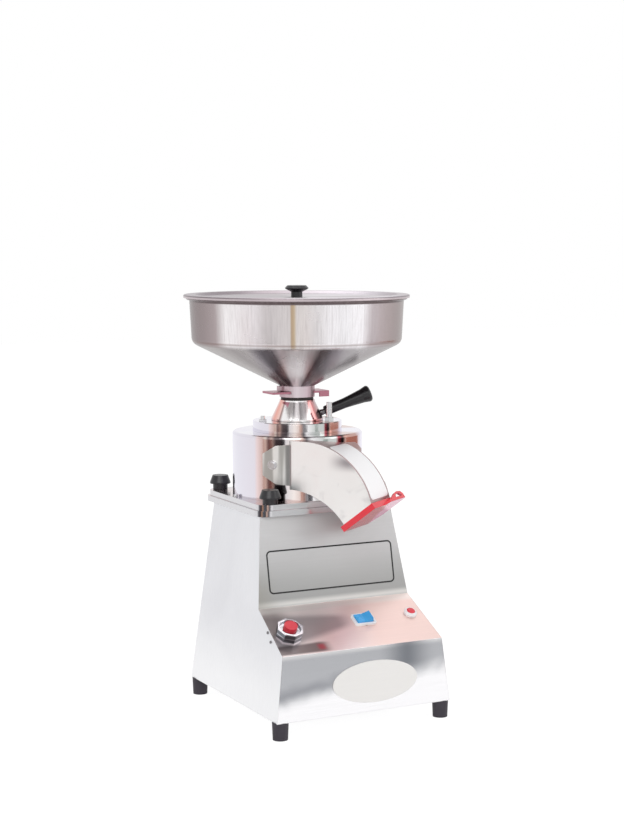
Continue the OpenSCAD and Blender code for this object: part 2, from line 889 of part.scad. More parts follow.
// Closed pot with a window for the chute, and four lugs inside for its screws
module chamber_drum() {
    r = drum_d / 2;
    profile = concat(
        [[0, 0], [r, 0]],
        arc([r - roof_r, drum_h - roof_r], roof_r, 0, 90, 6),
        [[0, drum_h]]
    );
    color(bright)
    difference() {
        at_axis() translate([0, 0, drum_z]) rotate_extrude() polygon(profile);
        at_axis() translate([0, 0, drum_z - cut]) difference() {
            cylinder(r = r - drum_t, h = drum_h - roof_t + cut);
            for (a = lug_turns)
                rotate([0, 0, a]) translate([r - drum_t - lug_l, -lug_w / 2, 0])
                    cube([2 * lug_l, lug_w, lug_h + 2 * cut]);
        }
        at_drum_screws() translate([0, 0, drum_z - cut]) cylinder(d = lug_screw_d, h = lug_h + cut);
        at_axis() translate([0, 0, drum_top - roof_t - cut])
            cylinder(d = tube_d + 2 * tube_room, h = roof_t + 2 * cut);
        at_disc_screws(disc_turns) translate([0, 0, drum_top - roof_t - cut])
            cylinder(d = disc_screw_d, h = roof_t + 2 * cut);
        intersection() {
            duct(chute_t + window_room, 0);
            in_chute() translate([window_from, -drum_d, 0]) cube([r, 2 * drum_d, 2 * drum_top]);
        }
        at_ear_screws() translate([-pin_cut / 2, 0, 0]) rotate([0, 90, 0]) cylinder(d = pin_d, h = pin_cut);
    }
}

module drum_screws() {
    color(bright) {
        at_drum_screws() translate([0, 0, deck_z]) {
            cylinder(d = 2 * (lug_screw_d - head_clear), h = deck_t / 2 - seat_gap);
            cylinder(d = lug_screw_d - 2 * seat_gap, h = deck_t + lug_h - head_room);
        }
        at_axis() translate([-drum_d / 2 - side_stop_d / 2 - head_room, 0, drum_z + seat_gap])
            cylinder(d = side_stop_d, h = side_stop_h);
    }
}

module at_disc_screws(angles) {
    for (a = angles)
        at_axis() rotate([0, 0, a - 60])
            translate([disc_screw_r, 0, 0])
                children();
}

module adjuster_flange() {
    color(bright)
    difference() {
        at_axis() translate([0, 0, drum_top])
            rotate_extrude()
                polygon([
                    [tube_d / 2 + tube_clear, 0], [disc_d / 2, 0], [disc_d / 2, disc_h - disc_edge],
                    [disc_d / 2 - disc_edge, disc_h], [tube_d / 2 + tube_clear, disc_h]
                ]);
        at_disc_screws(disc_turns) translate([0, 0, drum_top - cut])
            cylinder(d = disc_screw_d, h = disc_h + 2 * cut);
    }
}

module flange_screws() {
    color(bright)
    at_disc_screws([120, 240]) {
        translate([0, 0, drum_top - roof_t])
            cylinder(d = disc_screw_d - 2 * seat_gap, h = roof_t + disc_h + disc_screw_h);
        translate([0, 0, flange_top + seat_gap]) hex(disc_nut_d, disc_nut_h);
    }
}

module stop_stud() {
    color(bright)
    at_disc_screws([0]) {
        translate([0, 0, drum_top - roof_t])
            cylinder(d = disc_screw_d - 2 * seat_gap, h = roof_t + disc_h + cut);
        translate([0, 0, flange_top + seat_gap]) hex(stop_nut_d, stop_nut_h);
        translate([0, 0, flange_top + seat_gap]) cylinder(d = stop_d, h = stop_h);
    }
}

// A round bar across the chute's frame
module bar(x, z, r) {
    translate([x, 0, z]) rotate([90, 0, 0]) cylinder(r = r, h = 2 * drum_d, center = true);
}

// Children in the mouth's frame: x from the inner bend to the outer one, y from the near
// side to the far one, z back up the chute
module at_mouth() {
    in_chute() translate([mouth_in[0], -chute_side, mouth_in[1]])
        rotate([0, -mouth_angle, 0])
            children();
}

// The chute as a filled block, t inside its faces, running on past its mouth by e
module duct(t, e) {
    intersection() {
        in_chute() difference() {
            union() {
                bar(bend_out_x, bend_out_z, bend_out_r - t);
                translate([0, -drum_d, root_low]) cube([bend_out_x, 2 * drum_d, chute_root_h - t]);
            }
            bar(bend_in_x, bend_in_z, bend_in_r + t);
            translate([-drum_d, -drum_d, plate_z - body_h])
                cube([drum_d + bend_in_x, 2 * drum_d, root_low + t - plate_z + body_h]);
        }
        in_chute() translate([0, -chute_side + t, 0]) cube([2 * drum_d, chute_w - 2 * t, 2 * plate_z]);
        at_mouth() translate([-drum_d, -drum_d, -e]) cube([2 * drum_d, 2 * drum_d, 2 * drum_d]);
    }
}

// A plate bent round the chamber, from the chute's seam to a lower free end
module ear(seam, free) {
    r = drum_d / 2 + chute_clear;
    half = sign(seam - free) * r * sin(abs(seam - free) / 2);
    mid = 0.46 * ear_h;
    end = ear_end_h / 2;
    at_axis() intersection() {
        rotate([0, 0, min(seam, free)])
            translate([0, 0, ear_z - ear_h / 2])
                rotate_extrude(angle = abs(seam - free))
                    translate([r, 0]) square([ear_t, ear_h]);
        rotate([0, 0, (seam + free) / 2])
            rotate([90, 0, 90])
                linear_extrude(2 * r)
                    polygon([
                        [1.5 * half, ear_z - ear_h / 2], [1.5 * half, ear_z + ear_h / 2],
                        [0, ear_z + mid], [-half, ear_z + end], [-1.5 * half, ear_z + end],
                        [-1.5 * half, ear_z - end], [-half, ear_z - end], [0, ear_z - mid]
                    ]);
    }
}

// Directions in the chute's frame measured from the near side's normal
module at_ear_screws() {
    for (a = [near_seam - near_screw_turn, far_seam + far_screw_turn])
        at_axis() rotate([0, 0, chute_turn - 90 + a])
            translate([drum_d / 2, 0, ear_z])
                children();
}

module discharge_chute() {
    near = chute_turn - 90 + near_seam;
    far = chute_turn - 90 + far_seam;
    color(bright)
    difference() {
        union() {
            difference() {
                duct(0, 0);
                duct(chute_t, 2 * cut);
                at_axis() translate([0, 0, drum_z])
                    cylinder(r = drum_d / 2 + chute_clear, h = 2 * drum_h);
            }
            ear(near + 1, near - ear_near);
            ear(far - 1, far + ear_far);
        }
        at_ear_screws() translate([-pin_cut / 2, 0, 0]) rotate([0, 90, 0]) cylinder(d = pin_d, h = pin_cut);
    }
}

// Plain label on the chute's outer bend
module chute_label() {
    r = bend_out_r + seat_gap;
    wide = chute_w - 2 * label_margin;
    span = label_from - label_to;
    color([0.95, 0.95, 0.95])
    in_chute() translate([bend_out_x, -chute_side + chute_w / 2, bend_out_z])
        rotate([0, -(label_from + label_to) / 2, 0])
            intersection() {
                rotate([90, 0, 0])
                    rotate([0, 0, -span / 2 - label_spare])
                        translate([0, 0, -wide / 2 - cut])
                            rotate_extrude(angle = span + 2 * label_spare)
                                translate([r, 0]) square([label_t, wide + 2 * cut]);
                rotate([0, 90, 0]) round_slab(2 * r * sin(span / 2), wide, label_r, 2 * r);
            }
}

module chute_screws() {
    color(bright)
    at_ear_screws() rotate([0, 90, 0]) {
        translate([0, 0, chute_clear + ear_t + seat_gap]) cylinder(d = ear_screw_d, h = ear_washer_t);
        translate([0, 0, chute_clear + ear_t + cut]) cylinder(d = ear_head_d, h = ear_head_h);
        translate([0, 0, -drum_t]) cylinder(d = pin_d - 2 * seat_gap, h = drum_t + chute_clear + ear_t + cut);
    }
}

// Cap that closes the chute's mouth, with a slotted pull beside the chute
module mouth_cap() {
    out = mouth_len + cap_out;
    far = chute_w + cap_far;
    back = -cap_clear - cap_plate;
    color(red)
    at_mouth() {
        translate([0, 0, back]) linear_extrude(cap_plate)
            polygon([
                [-cap_lip, -cap_lip], [out, -cap_lip], [out, chute_w * 0.5],
                [out + pull_out, chute_w * 0.6], [out + pull_out, far - 3], [out + 2, far],
                [mouth_len * 0.35, far], [-cap_lip, far - 12]
            ]);
        difference() {
            translate([-cap_lip, -cap_lip, back + eps])
                cube([out + cap_lip, chute_w + 2 * cap_lip, cap_plate + cap_clear + cap_rim]);
            translate([-cap_clear, -cap_clear, -cap_clear])
                cube([mouth_len + cap_wall + cap_clear, chute_w + 2 * cap_clear, cap_rim + cut]);
        }
        translate([out + pull_out, 0, 0]) rotate([90, 0, -90]) linear_extrude(pull_t)
            difference() {
                polygon([
                    [-chute_w * 0.6, back], [-chute_w * 0.75, 1], [-chute_w, pull_tab_h - 1],
                    [-far + 14, pull_tab_h], [-far + 6, pull_tab_h - 1],
                    [-far + 3, 2], [-far + 3, back]
                ]);
                polygon([
                    [-chute_w * 0.95, 0], [-chute_w * 1.02, pull_tab_h - 3],
                    [-far + 12, pull_tab_h - 2.5], [-far + 7, 0]
                ]);
            }
    }
}

module throat_seal() {
    color(black)
    at_axis() translate([0, 0, cone_top + seal_gap])
        ring(seal_d / 2, tube_d / 2 + tube_clear, seal_h);
}

module hopper_collar() {
    bore = tube_d / 2 + tube_clear;
    tab_z = gate_top + 2 * gate_clear;
    color(steel)
    at_axis() difference() {
        union() {
            translate([0, 0, collar_z]) cylinder(d = collar_d, h = collar_h);
            translate([-collar_d / 2 - tab_out, -tab_w / 2, tab_z])
                cube([2 * tab_out, tab_w, collar_top - tab_z]);
        }
        translate([0, 0, collar_z - cut]) cylinder(r = bore, h = collar_h + 2 * cut);
        translate([-collar_d, -gate_w / 2 - gate_clear, gate_z - gate_clear])
            cube([2 * collar_d, gate_w + 2 * gate_clear, gate_t + 2 * gate_clear]);
    }
}

module hopper_bowl() {
    r = hopper_r;
    spout = tube_d / 2 + tube_clear - seat_gap;
    spout_z = gate_top + gate_clear + spout_gap;
    out = concat(
        [[spout, spout_z], [spout, collar_top], [collar_d / 2, collar_top]],
        arc([shoulder_x, shoulder_z], shoulder_r, hopper_slope - 90, 0, 8),
        [[r, rim_z - bead_d / 2]],
        arc([r + bead_d / 2 - hopper_t / 2, rim_z], bead_d / 2, -90, 90, 8)
    );
    inner = concat(
        [[r - hopper_t, rim_top]],
        arc([shoulder_x, shoulder_z], shoulder_r - hopper_t, 0, hopper_slope - 90, 8),
        [[spout - hopper_t, collar_top + hopper_t], [spout - hopper_t, spout_z]]
    );
    color(steel)
    at_axis() rotate_extrude() polygon(concat(out, inner));
}

module feed_gate() {
    color(steel)
    at_axis() difference() {
        union() {
            translate([-gate_left, -gate_w / 2, gate_z])
                cube([gate_left + gate_right, gate_w, gate_t]);
            translate([gate_right - lip_w, -gate_w / 2, gate_top - gate_lip])
                cube([lip_w, lip_t, gate_lip]);
        }
        translate([0, 0, gate_z - cut]) cylinder(d = feed_d, h = gate_t + 2 * cut);
    }
}

module hopper_lid() {
    ring_in = lid_r - lid_ring;
    top = lid_z + lid_t;
    out = concat(
        [[lid_r - lid_t, lid_z + lid_t - lid_skirt], [lid_r, lid_z + lid_t - lid_skirt]],
        arc([lid_r - lid_edge_r, top - lid_edge_r], lid_edge_r, 0, 90, 5),
        [[ring_in, top], [ring_in - lid_ramp, panel_z + lid_t], [lid_hole_r, panel_z + lid_t]]
    );
    inner = [
        [lid_hole_r, panel_z], [ring_in - lid_ramp + lid_t / 2, panel_z],
        [ring_in + lid_t / 2, lid_z], [lid_r - lid_t, lid_z]
    ];
    color(steel)
    at_axis() rotate_extrude() polygon(concat(out, inner));
}

module lid_knob() {
    z = panel_z + lid_t;
    stem_top = z + pull_stem_h;
    color(black)
    at_axis() difference() {
        translate([0, 0, z + seat_gap])
            rotate_extrude()
                polygon([
                    [0, 0], [pull_stem_d / 2, 0], [pull_stem_d / 2, pull_stem_h - pull_edge / 2],
                    [pull_d / 2 - pull_edge / 2, pull_stem_h + 0.25 * pull_h],
                    [pull_d / 2, pull_stem_h + 0.4 * pull_h], [pull_d / 2, pull_stem_h + 0.55 * pull_h],
                    [pull_d / 2 - pull_edge, pull_stem_h + pull_h], [0, pull_stem_h + pull_h]
                ]);
        translate([0, 0, z - cut]) cylinder(d = lid_screw_d, h = stem_top - z + cut);
    }
}

module lid_screw() {
    color(bright)
    at_axis() {
        translate([0, 0, panel_z - seat_gap - lid_head_h]) cylinder(d = lid_head_d, h = lid_head_h);
        translate([0, 0, panel_z - cut]) cylinder(d = lid_screw_d - 2 * seat_gap, h = lid_t + pull_stem_h);
    }
}

module motor_housing() {
    color([0.35, 0.36, 0.38])
    at_axis() difference() {
        translate([0, 0, motor_z]) cylinder(d = motor_d, h = motor_h);
        translate([0, 0, motor_z - cut]) cylinder(d = motor_d - 2 * motor_t, h = motor_h - head_t + cut);
        translate([0, 0, upper_bearing_z - cut - head_t])
            cylinder(d = bearing_d + 2 * seat_gap, h = bearing_h + head_t + cut);
        translate([0, 0, plate_z - head_t]) cylinder(d = shaft_d + 2 * shaft_room, h = head_t + cut);
        for (i = [0:motor_bolt_n - 1])
            rotate([0, 0, 360 / motor_bolt_n * (i + 0.5)])
                translate([motor_bolt_r, 0, plate_z - head_t + bolt_bore_end])
                    cylinder(d = motor_bolt_d + 2 * seat_gap, h = head_t);
    }
}

module motor_cap() {
    color([0.35, 0.36, 0.38])
    at_axis() difference() {
        union() {
            translate([0, 0, motor_cap_z]) cylinder(d = motor_d, h = cap_t);
            translate([0, 0, motor_z - cut])
                cylinder(d = bearing_d + 2 * bearing_wall, h = bearing_h - bearing_seat + cut);
        }
        translate([0, 0, lower_bearing_z]) cylinder(d = bearing_d + 2 * seat_gap, h = bearing_h + cut);
        translate([0, 0, motor_cap_z - cut]) cylinder(d = shaft_d + 2 * shaft_room, h = cap_t + 2 * cut);
    }
}

module motor_bolts() {
    color(bright)
    at_motor_bolts() {
        translate([0, 0, plate_z + plate_t / 2 + seat_gap])
            cylinder(d = bolt_head_d, h = plate_t / 2 - 2 * seat_gap);
        translate([0, 0, plate_z - head_t + bolt_end])
            cylinder(d = motor_bolt_d, h = head_t - bolt_end + plate_t / 2 + cut);
    }
}

module stator_core() {
    color([0.5, 0.35, 0.2])
    at_axis() translate([0, 0, core_z])
        ring(motor_d / 2 - motor_t - seat_gap, rotor_d / 2 + air_gap, core_h);
}

module bearing(z) {
    color(bright)
    at_axis() translate([0, 0, z])
        ring(bearing_d / 2, shaft_d / 2 + bearing_clear, bearing_h);
}

module upper_bearing() {
    bearing(upper_bearing_z);
}

module lower_bearing() {
    bearing(lower_bearing_z);
}

module motor_shaft() {
    color(bright)
    at_axis() translate([0, 0, shaft_low])
        cylinder(d = shaft_d, h = runner_stone_z + stone_t + nut_h + shaft_out - shaft_low);
}

module rotor_core() {
    color([0.6, 0.6, 0.62])
    at_axis() translate([0, 0, core_z])
        ring(rotor_d / 2, shaft_d / 2 + seat_gap, core_h);
}

module cooling_fan() {
    z = shaft_low + 1;
    color([0.2, 0.2, 0.22])
    at_axis() difference() {
        union() {
            translate([0, 0, z]) cylinder(d = fan_hub_d, h = fan_blade_h);
            translate([0, 0, z]) cylinder(d = fan_d, h = fan_t);
            for (i = [0:fan_blades - 1])
                rotate([0, 0, 360 / fan_blades * i])
                    translate([fan_hub_d / 2 - 2, -fan_t / 2, z + fan_t / 2])
                        cube([(fan_d - fan_hub_d) / 2 + 1, fan_t, fan_blade_h - fan_t / 2]);
        }
        translate([0, 0, z - cut]) cylinder(d = shaft_d + 2 * seat_gap, h = fan_blade_h + 2 * cut);
    }
}

module runner_plate() {
    color([0.7, 0.7, 0.72])
    at_axis() difference() {
        union() {
            translate([0, 0, runner_z]) cylinder(d = hub_d, h = hub_h + eps);
            translate([0, 0, runner_plate_z]) cylinder(d = carrier_d, h = carrier_t);
            for (a = [0:90:270])
                rotate([0, 0, a]) translate([hub_d / 2 - 1, -vane_t / 2, runner_z + 1])
                    cube([carrier_d / 2 - hub_d / 2, vane_t, hub_h]);
        }
        translate([0, 0, runner_z - cut])
            cylinder(d = shaft_d + 2 * seat_gap, h = hub_h + carrier_t + 2 * cut);
    }
}

module runner_stone() {
    color([0.30, 0.30, 0.31])
    at_axis() translate([0, 0, runner_stone_z])
        ring(stone_d / 2, shaft_d / 2 + seat_gap, stone_t);
}

module runner_nut() {
    color(bright)
    at_axis() translate([0, 0, runner_stone_z + stone_t])
        difference() {
            hex(nut_d, nut_h);
            translate([0, 0, -cut]) cylinder(d = shaft_d + 2 * seat_gap, h = nut_h + 2 * cut);
        }
}

module stone_carrier() {
    top = gate_z - gate_clear - carrier_gap;
    color([0.7, 0.7, 0.72])
    at_axis() difference() {
        union() {
            translate([0, 0, carrier_z]) cylinder(d = carrier_d, h = carrier_t);
            translate([0, 0, carrier_z]) cylinder(d = tube_d, h = top - carrier_z);
        }
        translate([0, 0, carrier_z - cut]) cylinder(d = feed_d, h = top - carrier_z + 2 * cut);
    }
}

module upper_stone() {
    color([0.30, 0.30, 0.31])
    at_axis() translate([0, 0, upper_stone_z])
        ring(stone_d / 2, stone_eye_d / 2, stone_t);
}

// Children in the lever's frame: x away from the cone's axis
module at_lever() {
    at_axis() translate([0, 0, flange_top + lever_z])
        rotate([0, 0, lever_turn])
            children();
}

// Children along the rising part of the lever, z towards its end
module on_lever() {
    at_lever() translate([lever_bend, 0, 0])
        rotate([0, 90 - lever_rise, 0])
            children();
}

module adjusting_cone() {
    top = cone_h - seal_gap;
    color(bright)
    difference() {
        at_axis() translate([0, 0, flange_top + seal_gap])
            rotate_extrude()
                polygon([
                    [tube_d / 2 + tube_clear, 0], [cone_d / 2, 0], [cone_d / 2, cone_foot_h],
                    [cone_top_d / 2, top - cone_lip_h], [cone_top_d / 2, top],
                    [tube_d / 2 + tube_clear, top]
                ]);
        at_lever() translate([lever_root, 0, 0]) rotate([0, 90, 0])
            cylinder(d = rod_d + 2 * seat_gap, h = cone_d);
        at_lever() translate([lever_bend - lever_elbow_d / 2, 0, 0]) rotate([0, 90, 0])
            cylinder(d = lever_elbow_d + 2 * seat_gap, h = cone_d);
    }
}

module lever_rod() {
    color(bright) {
        at_lever() translate([lever_root + seat_gap, 0, 0]) rotate([0, 90, 0])
            cylinder(d = rod_d, h = lever_bend - lever_root - seat_gap);
        at_lever() translate([lever_bend, 0, 0]) sphere(d = lever_elbow_d);
        on_lever() cylinder(d = rod_d, h = lever_len - rod_short);
    }
}

module lever_grip() {
    l = lever_len - grip_start;
    r0 = grip_d / 2;
    r1 = grip_end_d / 2;
    color(black)
    on_lever() translate([0, 0, grip_start]) difference() {
        rotate_extrude()
            polygon(concat(
                [[0, 0], [r0 - 1, 0], [r0, 1], [r0, l * 0.42], [r0 + 0.6, l * 0.55],
                 [r1 - 1.4, l * 0.82], [r1, l - 3.5]],
                arc([r1 - grip_end_r, l - grip_end_r], grip_end_r, 0, 90, 4),
                [[0, l]]
            ));
        translate([0, 0, -cut]) cylinder(d = rod_d + 2 * seat_gap, h = l - grip_bore_end + cut);
    }
}

module clamp_knob(x, y) {
    full = knob_neck_h + knob_rim_h + knob_crown_h;
    color(black)
    translate([x * knob_x, axis_y + y * knob_y, drum_z + knob_gap]) difference() {
        rotate_extrude()
            polygon([
                [0, 0], [knob_neck_d / 2, 0], [knob_neck_d / 2, knob_neck_h],
                [knob_cap_d / 2, knob_neck_h], [knob_cap_d / 2, knob_neck_h + knob_rim_h],
                [knob_top_d / 2, full], [0, full]
            ]);
        translate([0, 0, -cut]) cylinder(r = stud_d / 2 + stud_clear, h = stud_up + stud_room + cut);
    }
}

module run_capacitor() {
    color([0.82, 0.82, 0.80])
    translate([capacitor_x, capacitor_y, body_z + bottom_t + seat_gap])
        cylinder(d = cap_d, h = cap_l);
}

module capacitor_clip() {
    color(steel)
    translate([capacitor_x, capacitor_y, body_z + bottom_t + seat_gap]) {
        translate([0, 0, strap_z]) ring(cap_d / 2 + strap_t, cap_d / 2 + seat_gap, strap_w);
        translate([cap_d / 2 + strap_t / 2, -strap_w / 2, 0]) {
            cube([strap_t, strap_w, strap_z + strap_w]);
            cube([strap_foot, strap_w, strap_t]);
        }
    }
}

module reset_housing() {
    wide = reset_stem_d - 2 * control_clear;
    color([0.55, 0.56, 0.58])
    on_panel(-reset_x, reset_s) difference() {
        union() {
            translate([0, 0, seat_gap]) cylinder(d = reset_d, h = reset_h, $fn = 8);
            translate([0, 0, -shell_t - control_depth])
                cylinder(d = wide, h = control_depth + shell_t + stem_lap);
        }
        translate([0, 0, reset_h - reset_well])
            cylinder(d = button_d + 2 * control_clear, h = reset_well + cut);
        translate([0, 0, reset_h - reset_rim_h]) cylinder(d = reset_rim_d, h = reset_rim_h + cut);
    }
}

module reset_button() {
    foot = reset_well - button_travel - button_gap;
    color(red)
    on_panel(-reset_x, reset_s)
        translate([0, 0, reset_h - foot])
            cylinder(d = button_d, h = foot + button_up);
}

// The switch's frame is hollow: the rocker rocks inside it
module switch_frame() {
    l = switch_l - 2 * switch_rim - 2 * control_clear;
    w = switch_w - 2 * switch_rim - 2 * control_clear;
    color([0.93, 0.93, 0.92])
    on_panel(switch_x, switch_s) difference() {
        union() {
            translate([0, 0, seat_gap]) round_slab(switch_l, switch_w, switch_r, switch_h);
            translate([-l / 2, -w / 2, -shell_t - control_depth])
                cube([l, w, control_depth + shell_t + stem_lap]);
        }
        translate([-l / 2 + switch_rim, -w / 2 + switch_rim, -well_depth])
            cube([l - 2 * switch_rim, w - 2 * switch_rim, well_depth + switch_h + cut]);
        rotate([90, 0, 0]) cylinder(r = pivot_d / 2 + pivot_clear, h = switch_w, center = true);
    }
}

module switch_rocker() {
    l = switch_l - 4 * switch_rim - 2 * control_clear;
    w = switch_w - 4 * switch_rim - 2 * control_clear;
    half = l / 2 - rocker_clear;
    top = switch_h + rocker_up;
    color([0.20, 0.55, 0.90])
    on_panel(switch_x, switch_s) {
        rotate([90, 0, 0]) cylinder(d = pivot_d, h = w + 2 * (switch_rim - head_clear), center = true);
        rotate([0, -rocker_tilt, 0])
            translate([0, w / 2 - control_clear, 0])
                rotate([90, 0, 0])
                    linear_extrude(w - 2 * control_clear)
                        polygon([
                            [-half, top + rocker_rise], [-half, 0], [0, -rocker_dip], [half, 0],
                            [half, top + rocker_rise], [0, top]
                        ]);
    }
}

module lamp_ring() {
    hole = lamp_stem_d - 2 * control_clear;
    color([0.95, 0.95, 0.94])
    on_panel(lamp_x, lamp_s) difference() {
        union() {
            translate([0, 0, seat_gap])
                rotate_extrude()
                    polygon([
                        [0, 0], [lamp_d / 2, 0], [lamp_d / 2, lamp_h - lamp_edge],
                        [lamp_d / 2 - lamp_edge, lamp_h], [0, lamp_h]
                    ]);
            translate([0, 0, -shell_t - control_depth])
                cylinder(d = hole, h = control_depth + shell_t + stem_lap);
        }
        translate([0, 0, lamp_h - lens_seat]) cylinder(d = lens_d + 2 * seat_gap, h = lens_seat + cut);
    }
}

module lamp_lens() {
    r = lens_d / 2;
    color(red)
    on_panel(lamp_x, lamp_s)
        translate([0, 0, lamp_h - lens_seat + seat_gap])
            rotate_extrude()
                polygon(concat(
                    [[0, 0], [r, 0]],
                    [for (a = [0:15:90]) [r * cos(a), lens_seat + lens_rise * sin(a)]]
                ));
}

cabinet_shell();
bottom_plate();
rubber_feet();
foot_screws();
cable_gland();
front_plate();
side_screws();
mounting_plate();
clamp_studs();
chamber_plate();
chamber_drum();
drum_screws();
adjuster_flange();
flange_screws();
stop_stud();
discharge_chute();
chute_screws();
chute_label();
mouth_cap();
throat_seal();
hopper_collar();
hopper_bowl();
feed_gate();
hopper_lid();
lid_knob();
lid_screw();
motor_housing();
motor_cap();
motor_bolts();
stator_core();
upper_bearing();
lower_bearing();
motor_shaft();
rotor_core();
cooling_fan();
runner_plate();
runner_stone();
runner_nut();
stone_carrier();
upper_stone();
adjusting_cone();
lever_rod();
lever_grip();
clamp_knob(-1, -1);  // clamp_knob_front_left
clamp_knob(1, -1);  // clamp_knob_front_right
clamp_knob(-1, 1);  // clamp_knob_back_left
clamp_knob(1, 1);  // clamp_knob_back_right
run_capacitor();
capacitor_clip();
reset_housing();
reset_button();
switch_frame();
switch_rocker();
lamp_ring();
lamp_lens();
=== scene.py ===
"""Looks of a tabletop electric grain mill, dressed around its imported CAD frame.

Metres, in the frame's own axes: +Z up, the control panel faces -Y.
"""
import math

import bpy
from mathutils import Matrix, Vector


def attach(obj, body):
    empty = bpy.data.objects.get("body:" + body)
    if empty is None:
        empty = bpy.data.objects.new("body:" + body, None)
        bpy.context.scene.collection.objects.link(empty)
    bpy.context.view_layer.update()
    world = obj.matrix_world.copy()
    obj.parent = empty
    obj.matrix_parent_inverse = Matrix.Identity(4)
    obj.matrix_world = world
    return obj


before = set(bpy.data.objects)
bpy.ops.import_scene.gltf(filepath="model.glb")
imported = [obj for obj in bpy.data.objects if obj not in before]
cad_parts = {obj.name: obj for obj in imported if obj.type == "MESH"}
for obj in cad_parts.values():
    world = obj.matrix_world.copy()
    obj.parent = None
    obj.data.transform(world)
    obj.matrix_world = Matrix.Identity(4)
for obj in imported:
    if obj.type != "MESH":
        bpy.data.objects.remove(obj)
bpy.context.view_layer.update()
scene = bpy.context.scene

# Picture and camera
IMAGE_W = 624
IMAGE_H = 832
SENSOR = 24
FOCAL_PX = 1775.6
CENTRE_PX = (353.0, 465.4)
CAMERA_TURN = math.radians(27.96)
CAMERA_RISE = math.radians(7.58)
CAMERA_FAR = 1.9
CAMERA_TARGET = Vector((0.0436, 0, 0.2568))

# Places on the mill that the frame's boxes don't give
AXIS_Y = 0.046  # y of the milling axis
WALL_FOOT = 0.3900  # z where the hopper's wall turns into its funnel
RIM_FOOT = 0.4332  # z of the hopper's rolled rim
LID_LINE = 0.4374  # z above which the lid's skirt is painted dark, as shade
EAR_END = -0.0375  # x where the chute's left ear ends
GREY_MARK = (0.004, 0.270)  # x and z of the grey mark on the chute
CAP_REFLECTION_X = 0.044  # x where the painted pink reflection under the cap starts
PANEL_FOOT = (-0.106, 0.085)  # y and z of the panel's lower edge
FRONT_FOOT = (-0.041, 0.121)  # y and z of the fold between the panel and the upper front
FRONT_TOP = (-0.022, 0.213)  # y and z of the upper front's top
NOSE_TOP = 0.1  # z between the lower and the upper front
PANEL_BACK = -0.03  # y behind which no flat sheet belongs to the panel

# Surface detail
IOR = 1.5
ALONG_X = (0.02, 1, 1)
ALONG_Z = (1, 1, 0.02)
GRAIN_SCALE = 900
FINE_SCALE = 2600
GRAIN_DEPTH = 0.00003
SHEET_DEPTH = 0.00002
FINE_DEPTH = 0.00001

# Studio
CARD_RADIUS = 1.3
CARD_TOP = 0.165
CARD_STEP = math.radians(4)
FLOOR_HALF = 6
FLOOR_SHARE = 0.75
FLOOR_GLOW = 1.2
FILL_STRENGTH = 0.5
LAMP_SIZE = 1.6
LAMP_AIM = Vector((0, 0, 0.2))
LAMPS = [
    ("key", Vector((-1.3, -1.5, 1.9)), 22),
    ("fill", Vector((1.6, -1.2, 1.2)), 9),
    ("top", Vector((0.2, 0.6, 2.2)), 9),
]


def srgb(red, green, blue):
    """A colour written in 0-255 display values, as linear values."""
    def one(value):
        value = value / 255
        return value / 12.92 if value <= 0.04045 else ((value + 0.055) / 1.055) ** 2.4
    return (one(red), one(green), one(blue), 1)


WHITE = srgb(255, 255, 255)
MAUVE_WHITE = srgb(238, 236, 244)
STEEL = srgb(222, 220, 224)
WARM_STEEL = srgb(226, 219, 219)
ALUMINIUM = srgb(240, 238, 240)
BLACK = srgb(25, 23, 28)
SOOT = srgb(20, 19, 21)
RED = srgb(240, 62, 74)
# Painted shade and painted pink reflection under the cap
SHADE_RED = srgb(196, 48, 62)
REFLECTION_PINK = srgb(228, 146, 178)
BUTTON_RED = srgb(226, 60, 76)
# Painted peach reflection on the panel
PEACH_REFLECTION = srgb(234, 204, 197)
DUSTY_ROSE = srgb(180, 122, 136)
LIGHT_BLUE = srgb(66, 168, 232)

# Bands of painted reflection around the milling axis, from -1 at the left edge to 1 at the right edge
DRUM_REFLECTION_BANDS = [
    (-1.0, srgb(226, 222, 238)),
    (-0.93, srgb(230, 228, 238)),
    (-0.62, srgb(226, 221, 230)),
    (-0.58, srgb(232, 210, 210)),
    (-0.50, srgb(206, 178, 172)),
    (-0.45, srgb(222, 208, 200)),
    (-0.41, srgb(140, 118, 118)),
    (-0.36, srgb(196, 168, 160)),
    (-0.31, srgb(112, 98, 100)),
    (-0.20, srgb(92, 84, 88)),
    (-0.14, srgb(214, 208, 210)),
    (-0.02, srgb(236, 226, 222)),
    (0.10, srgb(214, 190, 182)),
    (0.17, srgb(120, 116, 120)),
    (0.24, srgb(244, 242, 244)),
    (0.42, srgb(200, 204, 202)),
    (0.60, srgb(196, 200, 198)),
    (0.64, srgb(152, 60, 72)),
    (0.70, srgb(52, 46, 48)),
    (0.76, srgb(206, 160, 148)),
    (0.90, srgb(196, 158, 150)),
    (0.97, srgb(232, 228, 242)),
]
CONE_REFLECTION_BANDS = [
    (-1.0, srgb(224, 206, 206)),
    (-0.86, srgb(236, 168, 156)),
    (-0.70, srgb(240, 204, 196)),
    (-0.64, srgb(150, 120, 116)),
    (-0.55, srgb(250, 248, 248)),
    (0.30, srgb(252, 250, 250)),
    (0.56, srgb(236, 222, 222)),
    (0.66, srgb(224, 158, 156)),
    (0.82, srgb(206, 138, 138)),
    (1.0, srgb(190, 170, 172)),
]
HOPPER_REFLECTION_BANDS = [
    (-1.0, srgb(96, 82, 82)),
    (-0.92, srgb(128, 114, 115)),
    (-0.72, srgb(170, 158, 159)),
    (-0.62, srgb(240, 236, 237)),
    (-0.34, srgb(236, 232, 235)),
    (-0.24, srgb(214, 208, 209)),
    (-0.030, srgb(206, 200, 200)),
    (-0.018, srgb(176, 154, 128)),
    (0.006, srgb(190, 170, 142)),
    (0.030, srgb(214, 208, 206)),
    (0.34, srgb(240, 237, 240)),
    (0.62, srgb(244, 242, 245)),
    (0.70, srgb(196, 187, 190)),
    (0.86, srgb(172, 160, 160)),
    (1.0, srgb(132, 118, 116)),
]
